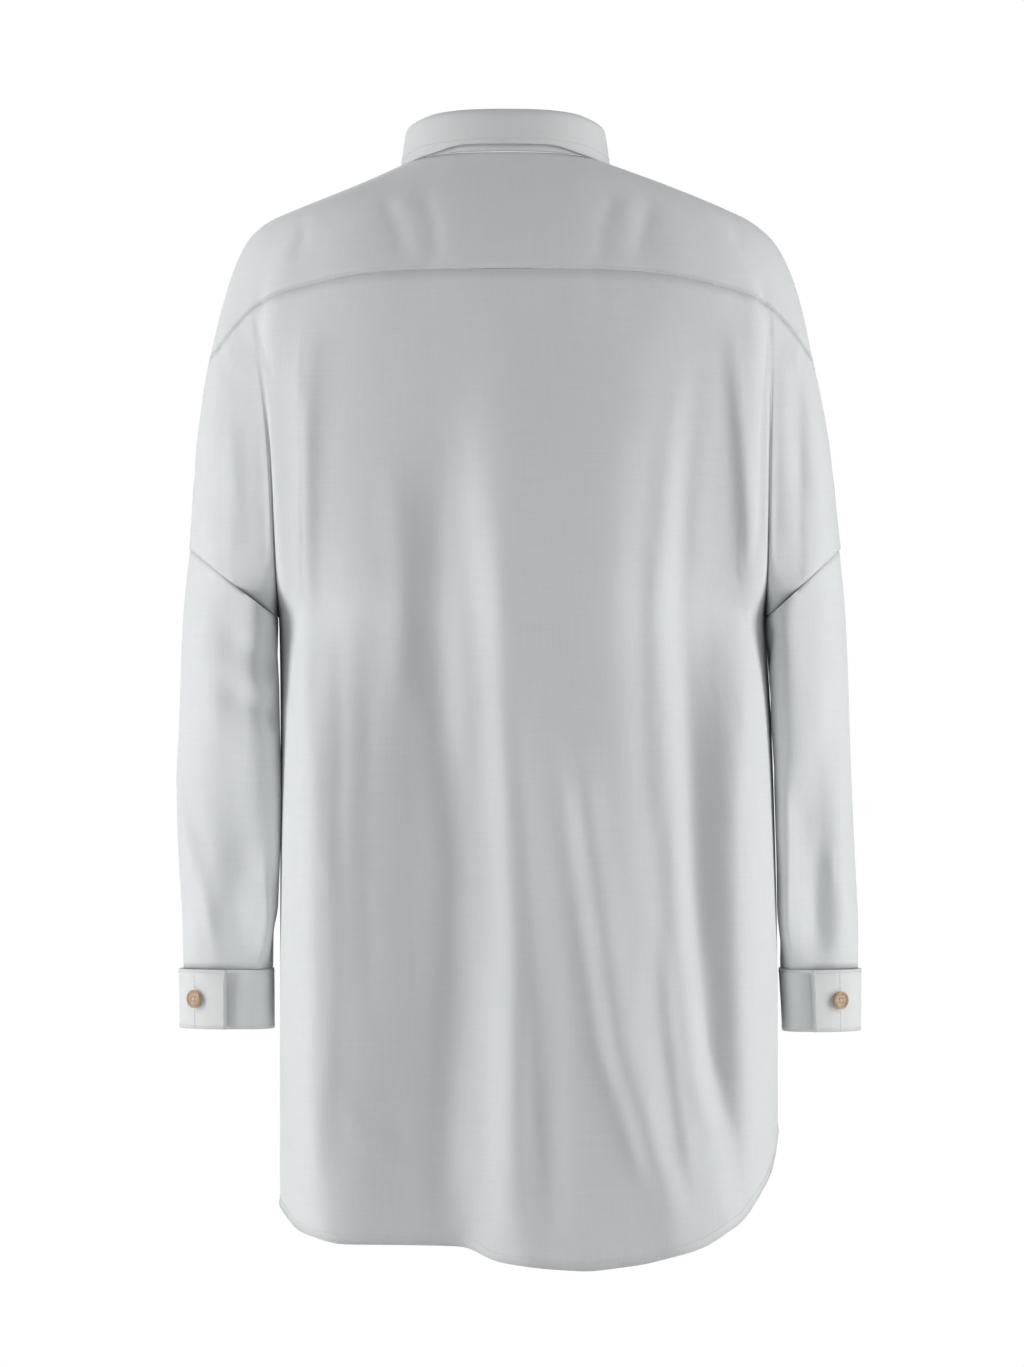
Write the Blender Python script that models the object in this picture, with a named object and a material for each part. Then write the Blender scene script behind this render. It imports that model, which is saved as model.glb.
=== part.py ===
# Long-sleeve shirt, filled out and hanging from the shoulders.
# Metres, +Z up. The wearer faces -Y, the wearer's left is +X. The origin is on the
# centre line at the height of the neck base, where the shoulders carry the shirt.
import math
from collections import namedtuple

import bpy
import bmesh
from mathutils import Vector

COLLECTION = "long_sleeve_shirt"

CLOTH = 0.0012           # wall of every cloth piece
SEAM = 0.0003            # gap between two pieces at a seam
LAP = 0.015              # each front runs this far past the centre line
LAP_STEP = 0.0030        # the under front lies this far inside the upper one
LAP_SPARE = 0.010        # the under front is fully in this far past the upper one's edge
LAP_EASE = 0.030         # width over which the under front steps in
UNDERARM_Z = -0.340
SIDE_Y = -0.005          # depth of the side seams and of the arm's inner line

STAND_HEIGHT = 0.0295    # collar stand at the centre back
STAND_FRONT = 0.024      # collar stand at the centre front
STAND_LAP = 0.010        # each stand end runs this far past the centre line
STAND_STEP = 0.0020      # the under end lies this far inside
STAND_CLEAR = 0.0005     # stand edge above the neck seam of the body
STAND_LEAN = 0.004       # stand's lean inward at the centre front, twice that at the back
STAND_UNDER_FROM = 0.93  # part of a turn at which the under end starts to step in
STAND_UNDER_EASE = 0.045
NECK_ROUND = 0.44        # length of the neck seam
LEAF_CREST = 0.0027      # leaf's fold above the upper edge of the stand
LEAF_OUT = 0.0042        # leaf's outer face outside the stand
LEAF_BACK = 0.0265       # leaf length at the centre back
LEAF_POINT = 0.066       # leaf length at its front points
LEAF_OVER_CHEST = 0.0062 # leaf's outer face outside the shirt in front
LEAF_LIFT = 0.0045       # leaf above the shirt below the neck seam
LEAF_LANDING = 0.010     # distance below the seam over which the leaf settles there
LEAF_ROLL = 0.006        # distance down from the fold at which the leaf is fully out
LEAF_ROUND = 0.0008      # height of the fold's rounding
LEAF_GROWS_FROM = 0.22   # part of a turn from the centre front where the leaf gets longer
LEAF_POINT_AT = 0.042    # part of a turn from the centre front of the points
LEAF_GROWTH = 1.6        # how late the leaf gets longer towards its points
LEAF_EASE = 0.10         # part of a turn over which the leaf moves out over the chest
LEAF_START = 0.012       # part of a turn between the centre front and the leaf's upper end
LEAF_CUTAWAY = 0.030     # how much farther away its lower end is
LEAF_ROWS = (0, 0.06, 0.13, 0.22, 0.42, 0.62, 0.81, 1)

CUFF_LAP = 0.10          # part of a turn by which a cuff's ends overlap
CUFF_STEP = 0.0045       # the lapped end stands this far outside the under end
CUFF_OUT = 0.0010        # cuff outside the sleeve's own outline
CUFF_LIFT_FROM = 0.72    # part of the cuff's length at which the lapped end starts to rise
CUFF_LIFT_EASE = 0.22    # part of its length over which it rises

BUTTON_RADIUS = 0.0056
BUTTON_THICKNESS = 0.0022
CUFF_BUTTON_RADIUS = 0.0066
CUFF_BUTTON_COLUMNS = 2  # columns of the cuff between its end and the button
BUTTON_CLEAR = 0.0012    # gap between a button and the cloth
BUTTON_SIDES = 16
FRONT_BUTTON_HEIGHTS = (-0.125, -0.210, -0.295, -0.380, -0.465, -0.550, -0.635)

BACK_COLUMNS = 40
ARM_COLUMNS = 18
FRONT_COLUMNS = 11
YOKE_ROWS = 6
CHEST_ROWS = 8
BODY_ROWS = 14
SLEEVE_ROWS = 13
CUFF_COLUMNS = 26
CUFF_ROWS = 3
COLLAR_COLUMNS = 38
STAND_ROWS = 3

# Colour and roughness.
FINISHES = {
    "shirt cloth": ((0.80, 0.81, 0.80, 1.0), 0.85),
    "band cloth": ((0.82, 0.83, 0.82, 1.0), 0.85),
    "button": ((0.52, 0.34, 0.20, 1.0), 0.45),
}

# Rings of the upper shirt, from the neck seam (0) over the shoulder and the yoke
# seam (4) to the underarm (7). z_*: height at the back, outer and front points.
# mid_out, half_out: centre and half width over the arms. mid_body, half_body: centre
# and half width between the two grooves that part the arms from the body.
# y_groove: half the way through from body to arm. arm_depth: half depth of the arm.
# split: how far the grooves are open, 0 to 1.
Ring = namedtuple("Ring", "z_back z_out z_front mid_out half_out y_back y_front "
                          "mid_body half_body y_groove arm_depth split")
RINGS = (
    Ring(0.006, 0.000, -0.074, 0.0010, 0.0765, 0.058, -0.062, 0.001, 0.060, 0.050, 0.05, 0.0),
    Ring(-0.010, -0.025, -0.082, -0.005, 0.136, 0.070, -0.071, -0.003, 0.110, 0.055, 0.05, 0.0),
    Ring(-0.031, -0.044, -0.096, -0.0015, 0.186, 0.083, -0.083, -0.004, 0.150, 0.058, 0.06, 0.0),
    Ring(-0.056, -0.078, -0.118, -0.004, 0.210, 0.094, -0.094, -0.006, 0.172, 0.060, 0.06, 0.0),
    Ring(-0.083, -0.148, -0.150, -0.003, 0.227, 0.103, -0.104, -0.007, 0.180, 0.056, 0.066, 0.25),
    Ring(-0.195, -0.204, -0.225, -0.0045, 0.2370, 0.121, -0.119, -0.010, 0.182, 0.060, 0.072, 0.80),
    Ring(-0.290, -0.260, -0.300, -0.0055, 0.2420, 0.120, -0.119, -0.011, 0.182, 0.050, 0.070, 0.95),
    Ring(-0.340, -0.288, -0.340, -0.006, 0.2445, 0.119, -0.118, -0.011, 0.182, 0.0034, 0.064, 1.0),
)
YOKE_RING = 4
ARMHOLE_RING = 7

# The body below the underarm; part: 0 at the underarm, 1 at the hem. flat: 0 where the
# body is rounded as at the underarm, 1 where back and front hang flat between the sides.
Waist = namedtuple("Waist", "part mid half y_back y_front flat")
WAISTS = (
    Waist(0.00, -0.0110, 0.1820, 0.119, -0.118, 0.0),
    Waist(0.12, -0.0135, 0.1835, 0.118, -0.116, 0.6),
    Waist(0.30, -0.0150, 0.1850, 0.117, -0.114, 1.0),
    Waist(0.60, -0.0162, 0.1865, 0.121, -0.117, 1.0),
    Waist(1.00, -0.0165, 0.1870, 0.126, -0.122, 1.0),
)

# Hem of the back, as x and height; the fronts rise from its ends to HEM_FRONT.
Hem = namedtuple("Hem", "x z")
BACK_HEM = (
    Hem(0.1705, -0.779), Hem(0.155, -0.793), Hem(0.125, -0.801), Hem(0.050, -0.802),
    Hem(0.026, -0.803), Hem(0.014, -0.812), Hem(-0.025, -0.817), Hem(-0.060, -0.819),
    Hem(-0.100, -0.814), Hem(-0.145, -0.8025), Hem(-0.175, -0.784), Hem(-0.197, -0.752),
    Hem(-0.2035, -0.724),
)
HEM_FRONT = -0.765
HEM_SIDE_RISE = 4        # power of the rise from HEM_FRONT to the side seams
GROOVE_CLOSES = 1 / 16   # part of the body's height in which the side grooves close

# Outlines of the hanging sleeves below the armhole, seen from behind.
# drop: mean height of the ring; tilt: how much its outer side is higher.
Tube = namedtuple("Tube", "drop tilt outer inner depth y")
SLEEVES = {
    1: (
        Tube(-0.314, 0.052, 0.2385, 0.1710, 0.064, -0.006),
        Tube(-0.350, 0.036, 0.2440, 0.1722, 0.062, -0.007),
        Tube(-0.395, 0.016, 0.2465, 0.1730, 0.060, -0.009),
        Tube(-0.435, 0.004, 0.2480, 0.1738, 0.058, -0.012),
        Tube(-0.478, 0.000, 0.2495, 0.1742, 0.055, -0.016),
        Tube(-0.522, 0.000, 0.2485, 0.1750, 0.052, -0.021),
        Tube(-0.565, 0.000, 0.2455, 0.1758, 0.047, -0.026),
        Tube(-0.603, 0.000, 0.2450, 0.1762, 0.041, -0.030),
        Tube(-0.648, 0.000, 0.2445, 0.1762, 0.039, -0.032),
    ),
    -1: (
        Tube(-0.314, 0.052, 0.2505, 0.1930, 0.064, -0.006),
        Tube(-0.350, 0.036, 0.2550, 0.1955, 0.062, -0.007),
        Tube(-0.395, 0.016, 0.2570, 0.1985, 0.060, -0.009),
        Tube(-0.435, 0.004, 0.2585, 0.2022, 0.058, -0.012),
        Tube(-0.478, 0.000, 0.2605, 0.2048, 0.055, -0.016),
        Tube(-0.522, 0.000, 0.2630, 0.2062, 0.052, -0.021),
        Tube(-0.565, 0.000, 0.2655, 0.2062, 0.047, -0.026),
        Tube(-0.603, 0.000, 0.2655, 0.2058, 0.041, -0.030),
        Tube(-0.650, 0.000, 0.2650, 0.2085, 0.039, -0.032),
    ),
}
SLEEVE_SKEW = 1.5        # as ARM_SKEW, below the armhole
CUFF_TUBE = 7            # the cuff lies between this row and the last
# Where a cuff's upper end stops, as a part of the turn from the arm's inner line
# over the back (0.25) to the outer side (0.5).
CUFF_END = {1: 0.290, -1: 0.260}

# The raised middle of the back: its two edges, the height of its top over them,
# and the step at the edges, by height on the shirt.
Box = namedtuple("Box", "z left right rise step")
BACK_BOX = (
    Box(-0.100, 0.040, -0.146, 0.000, 0.0000),
    Box(-0.158, 0.039, -0.137, 0.006, 0.0000),
    Box(-0.251, 0.041, -0.124, 0.014, 0.0030),
    Box(-0.326, 0.038, -0.121, 0.017, 0.0045),
    Box(-0.401, 0.033, -0.124, 0.018, 0.0055),
    Box(-0.514, 0.020, -0.130, 0.019, 0.0070),
    Box(-0.596, 0.022, -0.136, 0.020, 0.0080),
    Box(-0.656, 0.026, -0.142, 0.020, 0.0085),
    Box(-0.739, 0.028, -0.161, 0.021, 0.0090),
    Box(-0.830, 0.024, -0.176, 0.021, 0.0090),
)
BOX_FLANK = 0.048        # width over which the box rises from its edge
BOX_EDGE = 0.0055        # width of the step at its edge

# Soft folds: a ridge (height above 0) or trough along a line, fading at both ends.
Fold = namedtuple("Fold", "x_top z_top x_low z_low width height")
BACK_FOLDS = (
    Fold(0.066, -0.150, 0.060, -0.840, 0.022, -0.0022),
    Fold(0.120, -0.180, 0.112, -0.860, 0.030, 0.0035),
    Fold(0.148, -0.110, 0.152, -0.420, 0.012, 0.0050),
    Fold(-0.150, -0.140, -0.172, -0.860, 0.016, -0.0035),
    Fold(-0.178, -0.110, -0.186, -0.460, 0.011, 0.0055),
    Fold(-0.010, -0.300, -0.030, -0.860, 0.013, -0.0050),
    Fold(-0.040, -0.400, -0.132, -0.840, 0.014, 0.0050),
    Fold(-0.064, -0.480, -0.150, -0.860, 0.011, -0.0035),
    Fold(-0.128, -0.640, -0.142, -0.760, 0.007, 0.0030),
    Fold(0.084, -0.300, 0.082, -0.700, 0.010, 0.0018),
    Fold(0.067, -0.004, 0.050, -0.120, 0.010, -0.0022),
    Fold(0.094, -0.010, 0.070, -0.110, 0.011, -0.0018),
    Fold(-0.081, -0.008, -0.066, -0.120, 0.010, -0.0022),
    Fold(-0.108, -0.014, -0.094, -0.125, 0.011, -0.0020),
)
FRONT_FOLDS = (
    Fold(0.130, -0.120, 0.110, -0.800, 0.022, -0.0050),
    Fold(0.092, -0.160, 0.075, -0.820, 0.018, 0.0045),
    Fold(0.158, -0.110, 0.154, -0.440, 0.012, 0.0045),
    Fold(-0.135, -0.120, -0.128, -0.800, 0.022, -0.0055),
    Fold(-0.098, -0.160, -0.090, -0.820, 0.018, 0.0045),
    Fold(-0.172, -0.110, -0.176, -0.440, 0.012, 0.0045),
)

# Folds of a sleeve, by part of the turn (0 inner, 0.25 back, 0.5 outer) and height.
Crease = namedtuple("Crease", "turn_top z_top turn_low z_low width height")
SLEEVE_CREASES = {
    1: (
        Crease(0.20, -0.470, 0.262, -0.612, 0.050, -0.0100),
        Crease(0.42, -0.420, 0.330, -0.590, 0.045, 0.0030),
        Crease(0.16, -0.330, 0.100, -0.420, 0.045, -0.0040),
        Crease(0.16, -0.385, 0.070, -0.450, 0.045, -0.0040),
        Crease(0.70, -0.360, 0.80, -0.590, 0.050, -0.0045),
        Crease(0.60, -0.440, 0.66, -0.600, 0.045, 0.0030),
    ),
    -1: (
        Crease(0.22, -0.440, 0.272, -0.612, 0.050, -0.0100),
        Crease(0.12, -0.400, 0.150, -0.600, 0.040, 0.0035),
        Crease(0.36, -0.330, 0.420, -0.560, 0.040, -0.0035),
        Crease(0.70, -0.350, 0.78, -0.590, 0.050, -0.0045),
        Crease(0.60, -0.430, 0.64, -0.600, 0.045, 0.0030),
    ),
}


# Folds fade over these parts of their length, over this depth beside the side line
# and from this station of the back or front to its groove.
FOLD_FADE = 0.2
CREASE_FADE_TOP = 1 / 3
CREASE_FADE_LOW = 1 / 9
FOLD_DEPTH = 0.05
GROOVE_FROM = 0.8


def hermite(a, b, tangent_a, tangent_b, t):
    square = t * t
    cube = square * t
    return ((2 * cube - 3 * square + 1) * a + (cube - 2 * square + t) * tangent_a
            + (3 * square - 2 * cube) * b + (cube - square) * tangent_b)


def along(points, t, before=None, after=None):
    """Point at t (0 to len - 1) of a smooth curve through the points."""
    last = len(points) - 1
    first = min(max(int(math.floor(t)), 0), last - 1)
    here, there = points[first], points[first + 1]
    behind = points[first - 1] if first > 0 else before
    ahead = points[first + 2] if first + 2 <= last else after
    start = (there - behind) / 2 if behind is not None else there - here
    end = (ahead - here) / 2 if ahead is not None else there - here
    return hermite(here, there, start, end, t - first)


def row_at(table, t):
    """Row of a table between its rows, every named column read smoothly."""
    kind = type(table[0])
    columns = [[row[index] for row in table] for index in range(len(kind._fields))]
    return kind(*(along(column, t) for column in columns))


def read(table, key, column, at):
    """Value of a column where the key column has the value at; rows fall in key."""
    keys = [getattr(row, key) for row in table]
    values = [getattr(row, column) for row in table]
    if at >= keys[0]:
        return values[0]
    for index in range(len(keys) - 1):
        if at >= keys[index + 1]:
            part = (keys[index] - at) / (keys[index] - keys[index + 1])
            return values[index] + part * (values[index + 1] - values[index])
    return values[-1]


def ease(part):
    part = min(max(part, 0.0), 1.0)
    return part * part * (3 - 2 * part)


def fold_height(folds, x, z):
    total = 0.0
    for fold in folds:
        part = (fold.z_top - z) / (fold.z_top - fold.z_low)
        if 0 < part < 1:
            line = fold.x_top + part * (fold.x_low - fold.x_top)
            away = (x - line) / fold.width
            fade = ease(part / FOLD_FADE) * ease((1 - part) / FOLD_FADE)
            total += fold.height * math.exp(-away * away) * fade
    return total


def box_height(x, z):
    left = read(BACK_BOX, "z", "left", z)
    right = read(BACK_BOX, "z", "right", z)
    inside = min(left - x, x - right)
    rise = read(BACK_BOX, "z", "rise", z) * ease(inside / BOX_FLANK)
    return rise + read(BACK_BOX, "z", "step", z) * ease(inside / BOX_EDGE + 0.5)


def relief(point, weight):
    """The point moved out or in by the folds of the side of the shirt it lies on."""
    if point.y > SIDE_Y:
        height = fold_height(BACK_FOLDS, point.x, point.z) + box_height(point.x, point.z)
        hold = ease((point.y - SIDE_Y) / FOLD_DEPTH)
        return point + Vector((0, height * hold * weight, 0))
    height = fold_height(FRONT_FOLDS, point.x, point.z)
    hold = ease((SIDE_Y - point.y) / FOLD_DEPTH)
    return point - Vector((0, height * hold * weight, 0))


# Where a quarter ring has its points: by turn in degrees while arm and body are one,
# and as parts of the body's half width and depth once they are apart. The points from
# ARM_KEY on then go round the arm, at ARM_STEP degrees each.
KEY_TURNS = (0, 27, 47, 57, 65, 73, 81, 90)
BODY_KEYS = ((0.0, 1.0), (0.50, 0.90), (0.86, 0.55))
FLAT_KEYS = ((0.0, 1.0), (0.50, 0.985), (0.86, 0.88))
SIDE_KEY = ((1.0, 0.0),)
ARM_KEY = 3
ARM_STEP = 45
ARM_SKEW = 1.15          # above 1, an arm is deepest near the body and slopes outward


def upper_keys(ring, side, face):
    """Points from the centre line to the outermost point of one quarter of a ring."""
    front = face < 0
    y_far = ring.y_front if front else ring.y_back
    z_far = ring.z_front if front else ring.z_back
    radius = abs(y_far - SIDE_Y)
    arm = abs(side * ring.half_out + ring.mid_out)
    body = abs(side * ring.half_body + ring.mid_body)
    keys = []
    for index, turn in enumerate(KEY_TURNS):
        angle = math.radians(turn)
        rise = math.sin(angle) ** 4
        smooth = Vector((ring.mid_out + side * ring.half_out * math.sin(angle),
                         SIDE_Y + face * radius * math.cos(angle),
                         z_far + (ring.z_out - z_far) * rise))
        if index < ARM_KEY:
            across, deep = BODY_KEYS[index]
            apart = Vector((ring.mid_body + side * ring.half_body * across,
                            SIDE_Y + face * (ring.y_groove + (radius - ring.y_groove) * deep),
                            z_far))
        else:
            turn_arm = math.radians(-90 + ARM_STEP * (index - ARM_KEY))
            across = (0.5 + 0.5 * math.sin(turn_arm)) ** ARM_SKEW
            deep = math.cos(turn_arm)
            floor = ring.y_groove * (1 - across)
            apart = Vector((side * (body + (arm - body) * across),
                            SIDE_Y + face * (floor + (ring.arm_depth - floor) * deep),
                            z_far + (ring.z_out - z_far) * across))
        keys.append(smooth.lerp(apart, ring.split))
    return keys


def upper_curves(t):
    """Keys of a whole ring: back and front from -X to +X, each arm from back to front."""
    ring = row_at(RINGS, t)
    quarter = {(s, f): upper_keys(ring, s, f) for s in (1, -1) for f in (1, -1)}
    curves = {"split": ring.split}
    for face in (1, -1):
        right, left = quarter[(-1, face)], quarter[(1, face)]
        curves[face] = right[3:0:-1] + left[0:4]
        curves[(face, "next")] = right[4], left[4]
    for side in (1, -1):
        back, front = quarter[(side, 1)], quarter[(side, -1)]
        curves[(side, "arm")] = back[3:8] + front[6:2:-1]
        curves[(side, "ends")] = back[2], front[2]
    return curves


def groove_fade(s):
    return ease((abs(s) - GROOVE_FROM) / (1 - GROOVE_FROM))


def upper_face(curves, face, s):
    """Point of the back (face 1) or front (face -1); s runs -1 to 1 from -X to +X."""
    keys = curves[face]
    other = curves[-face]
    before = curves[(face, "next")][0].lerp(other[1], curves["split"])
    after = curves[(face, "next")][1].lerp(other[-2], curves["split"])
    point = along(keys, (s + 1) * 3, before, after)
    return relief(point, 1 - curves["split"] * groove_fade(s))


def upper_arm(curves, side, turn):
    """Point of an arm; turn runs 0 to 1 from its back groove round to its front one."""
    keys = curves[(side, "arm")]
    behind, ahead = curves[(side, "ends")]
    before = behind.lerp(keys[-2], curves["split"])
    after = ahead.lerp(keys[1], curves["split"])
    point = along(keys, turn * 8, before, after)
    return relief(point, (1 - curves["split"]) * ease(abs(turn - 0.5) * 2))


def hem_z(x):
    return read(BACK_HEM, "x", "z", x)


def lower_face(part, face, s):
    """Point of the body below the underarm; part 0 to 1 from there to the hem."""
    index = 0
    while index < len(WAISTS) - 2 and part > WAISTS[index + 1].part:
        index += 1
    span = WAISTS[index + 1].part - WAISTS[index].part
    waist = row_at(WAISTS, index + (part - WAISTS[index].part) / span)
    gap = RINGS[ARMHOLE_RING].y_groove * (1 - ease(part / GROOVE_CLOSES))
    quarter = {}
    for way in (1, -1):
        far = abs((waist.y_back if way > 0 else waist.y_front) - SIDE_Y)
        half = []
        for (across, deep), (_, flat) in zip(BODY_KEYS + SIDE_KEY, FLAT_KEYS + SIDE_KEY):
            depth = gap + (far - gap) * (deep + (flat - deep) * waist.flat)
            half.append(Vector((across * waist.half, SIDE_Y + way * depth, 0)))
        mirrored = [Vector((-p.x, p.y, 0)) for p in half[3:0:-1]]
        quarter[way] = mirrored + half
    keys, other = quarter[face], quarter[-face]
    point = along(keys, (s + 1) * 3, other[1], other[-2])
    point.x += waist.mid
    if face > 0:
        low = hem_z(point.x)
    else:
        side_low = hem_z(waist.mid + math.copysign(waist.half, s))
        low = HEM_FRONT + (side_low - HEM_FRONT) * abs(s) ** HEM_SIDE_RISE
    point.z = UNDERARM_Z + part * (low - UNDERARM_Z)
    return relief(point, 1 - groove_fade(s))


def sleeve_point(side, t, turn):
    """Point of a sleeve; t is a row of its table, turn 0 to 1 round from the inner line."""
    tube = row_at(SLEEVES[side], t)
    angle = math.tau * turn
    across = 0.5 - 0.5 * math.cos(angle)
    z = tube.drop - tube.tilt / 2 + tube.tilt * across
    height = 0.0
    for crease in SLEEVE_CREASES[side]:
        part = (crease.z_top - z) / (crease.z_top - crease.z_low)
        if 0 < part < 1:
            line = crease.turn_top + part * (crease.turn_low - crease.turn_top)
            away = (turn - line) / crease.width
            fade = ease(part / CREASE_FADE_TOP) * ease((1 - part) / CREASE_FADE_LOW)
            height += crease.height * math.exp(-away * away) * fade
    x = tube.inner + (tube.outer - tube.inner) * across ** SLEEVE_SKEW - height * math.cos(angle)
    y = tube.y + (tube.depth + height) * math.sin(angle)
    return Vector((side * x, y, z))


def armhole_point(side, turn):
    return upper_arm(upper_curves(ARMHOLE_RING), side, turn)


SAME_CORNER = 0.00005
RIM_INSET = SEAM * 0.6   # how far each piece's free edges draw in, to part it from the next

Piece = namedtuple("Piece", "name cells outward")


def new_material(name):
    colour, roughness = FINISHES[name]
    material = bpy.data.materials.new(name)
    material.use_nodes = True
    shader = material.node_tree.nodes["Principled BSDF"]
    shader.inputs["Base Color"].default_value = colour
    shader.inputs["Roughness"].default_value = roughness
    return material


def corner_key(point):
    return tuple(round(value / SAME_CORNER) for value in point)


def sheet(cells, outward):
    """Mesh of four-cornered cells with shared corners, facing outward."""
    mesh = bmesh.new()
    found = {}
    for corners in cells:
        verts = []
        for corner in corners:
            key = corner_key(corner)
            if key not in found:
                found[key] = mesh.verts.new(corner)
            if found[key] not in verts:
                verts.append(found[key])
        if len(verts) > 2:
            mesh.faces.new(verts)
    bmesh.ops.recalc_face_normals(mesh, faces=mesh.faces)
    if sum(face.normal.dot(outward(face.calc_center_median())) for face in mesh.faces) < 0:
        bmesh.ops.reverse_faces(mesh, faces=mesh.faces)
    mesh.normal_update()
    return mesh


def rim_moves(mesh):
    """Ways along the sheet that draw its free edges in."""
    moves = {}
    for edge in mesh.edges:
        if len(edge.link_faces) != 1:
            continue
        face = edge.link_faces[0]
        run = (edge.verts[1].co - edge.verts[0].co).normalized()
        inward = face.calc_center_median() - edge.verts[0].co
        inward = (inward - run * inward.dot(run)).normalized()
        for vert in edge.verts:
            total = moves.get(vert, Vector((0, 0, 0)))
            if total.length < 0.1 or inward.dot(total.normalized()) < 0.95:
                moves[vert] = total + inward
    return moves


def cloth_object(piece, material, shared_normals):
    """The sheet of a piece thickened inward to a wall, its free edges drawn in."""
    mesh = sheet(piece.cells, piece.outward)
    bmesh.ops.triangulate(mesh, faces=mesh.faces, quad_method="SHORT_EDGE")
    mesh.normal_update()
    normals = [shared_normals.get(corner_key(vert.co), vert.normal).copy() for vert in mesh.verts]
    for vert, way in rim_moves(mesh).items():
        vert.co += way * RIM_INSET
    outer = list(mesh.verts)
    outer_faces = list(mesh.faces)
    order = {vert: index for index, vert in enumerate(outer)}
    inner = [mesh.verts.new(vert.co - normals[index] * CLOTH) for index, vert in enumerate(outer)]
    rims = [(loop.vert, loop.link_loop_next.vert) for face in outer_faces
            for loop in face.loops if len(loop.edge.link_faces) == 1]
    for face in outer_faces:
        mesh.faces.new([inner[order[vert]] for vert in reversed(face.verts)])
    for first, second in rims:
        mesh.faces.new((second, first, inner[order[first]], inner[order[second]]))
    data = bpy.data.meshes.new(piece.name)
    mesh.to_mesh(data)
    mesh.free()
    data.shade_smooth()
    data.materials.append(material)
    thing = bpy.data.objects.new(piece.name, data)
    bpy.data.collections[COLLECTION].objects.link(thing)
    return thing


def grid_cells(rows):
    cells = []
    for upper, lower in zip(rows, rows[1:]):
        for index in range(len(upper) - 1):
            cells.append((upper[index], upper[index + 1], lower[index + 1], lower[index]))
    return cells


def spread(count, start, stop):
    return [start + (stop - start) * index / count for index in range(count + 1)]


def from_axis(point):
    return Vector((point.x, point.y - SIDE_Y, 0.02))


def from_arm(side):
    middle = side * (SLEEVES[side][3].outer + SLEEVES[side][3].inner) / 2

    def outward(point):
        return Vector((point.x - middle, point.y - SIDE_Y, 0))

    return outward


# The arm's columns: the back panel ends and the yoke's strip begins at the outermost
# line; the yoke's strip ends where the front yoke seam runs down the arm.
OUTER_COLUMN = ARM_COLUMNS // 2
STRIP_COLUMN = OUTER_COLUMN + 3


def back_columns(curves):
    return [upper_face(curves, 1, s) for s in spread(BACK_COLUMNS, -1, 1)]


def arm_columns(curves, side, first, last):
    return [upper_arm(curves, side, index / ARM_COLUMNS) for index in range(first, last + 1)]


def yoke_piece():
    top = []
    for t in spread(YOKE_ROWS, 0, YOKE_RING):
        curves = upper_curves(t)
        right = arm_columns(curves, -1, 0, STRIP_COLUMN)
        left = arm_columns(curves, 1, 0, STRIP_COLUMN)
        top.append(right[:0:-1] + back_columns(curves) + left[1:])
    cells = grid_cells(top)
    for side in (1, -1):
        strip = [arm_columns(upper_curves(t), side, OUTER_COLUMN, STRIP_COLUMN)
                 for t in spread(CHEST_ROWS, YOKE_RING, ARMHOLE_RING)]
        cells += grid_cells(strip)
    return Piece("yoke", cells, lambda point: Vector((0, point.y, 0.08)))


def back_piece():
    upper = []
    for t in spread(CHEST_ROWS, YOKE_RING, ARMHOLE_RING):
        curves = upper_curves(t)
        right = arm_columns(curves, -1, 0, OUTER_COLUMN)
        left = arm_columns(curves, 1, 0, OUTER_COLUMN)
        upper.append(right[:0:-1] + back_columns(curves) + left[1:])
    lower = [[lower_face(part, 1, s) for s in spread(BACK_COLUMNS, -1, 1)]
             for part in spread(BODY_ROWS, 0, 1)]
    lower[0] = upper[-1][OUTER_COLUMN:OUTER_COLUMN + BACK_COLUMNS + 1]
    return Piece("back_panel", grid_cells(upper) + grid_cells(lower), from_axis)


def front_stations(side, edge):
    """Stations of one front from its groove to its edge past the centre line."""
    return spread(FRONT_COLUMNS, side, -side * edge)


def step_in(point, side, inner):
    """The under front steps inside the upper one along the centre line."""
    if not inner:
        return point
    near = 1 - ease((side * point.x - LAP - LAP_SPARE) / LAP_EASE)
    return point + Vector((0, LAP_STEP * near, 0))


def front_point(t, s):
    """Point of the fronts: t to ARMHOLE_RING in the rings, then on to the hem."""
    if t <= ARMHOLE_RING:
        return upper_face(upper_curves(t), -1, s)
    return lower_face(t - ARMHOLE_RING, -1, s)


def upper_rows():
    return spread(YOKE_ROWS, 0, YOKE_RING) + spread(CHEST_ROWS, YOKE_RING, ARMHOLE_RING)[1:]


def front_rows():
    return upper_rows() + [ARMHOLE_RING + part for part in spread(BODY_ROWS, 0, 1)[1:]]


def centre_edge(t):
    """Station of the fronts' edge at LAP from the centre line."""
    unit = front_point(t, 1 / 3).x - front_point(t, 0).x
    return LAP / (3 * unit)


def front_piece(side):
    inner = side > 0
    upper = []
    for t in upper_rows():
        curves = upper_curves(t)
        arm = arm_columns(curves, side, STRIP_COLUMN, ARM_COLUMNS)
        face = [step_in(front_point(t, s), side, inner)
                for s in front_stations(side, centre_edge(t))]
        upper.append(arm[:-1] + face)
    lower = []
    for part in spread(BODY_ROWS, 0, 1):
        t = ARMHOLE_RING + part
        lower.append([step_in(lower_face(part, -1, s), side, inner)
                      for s in front_stations(side, centre_edge(t))])
    lower[0] = upper[-1][-(FRONT_COLUMNS + 1):]
    name = "front_left" if side > 0 else "front_right"
    return Piece(name, grid_cells(upper) + grid_cells(lower), from_axis)


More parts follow.
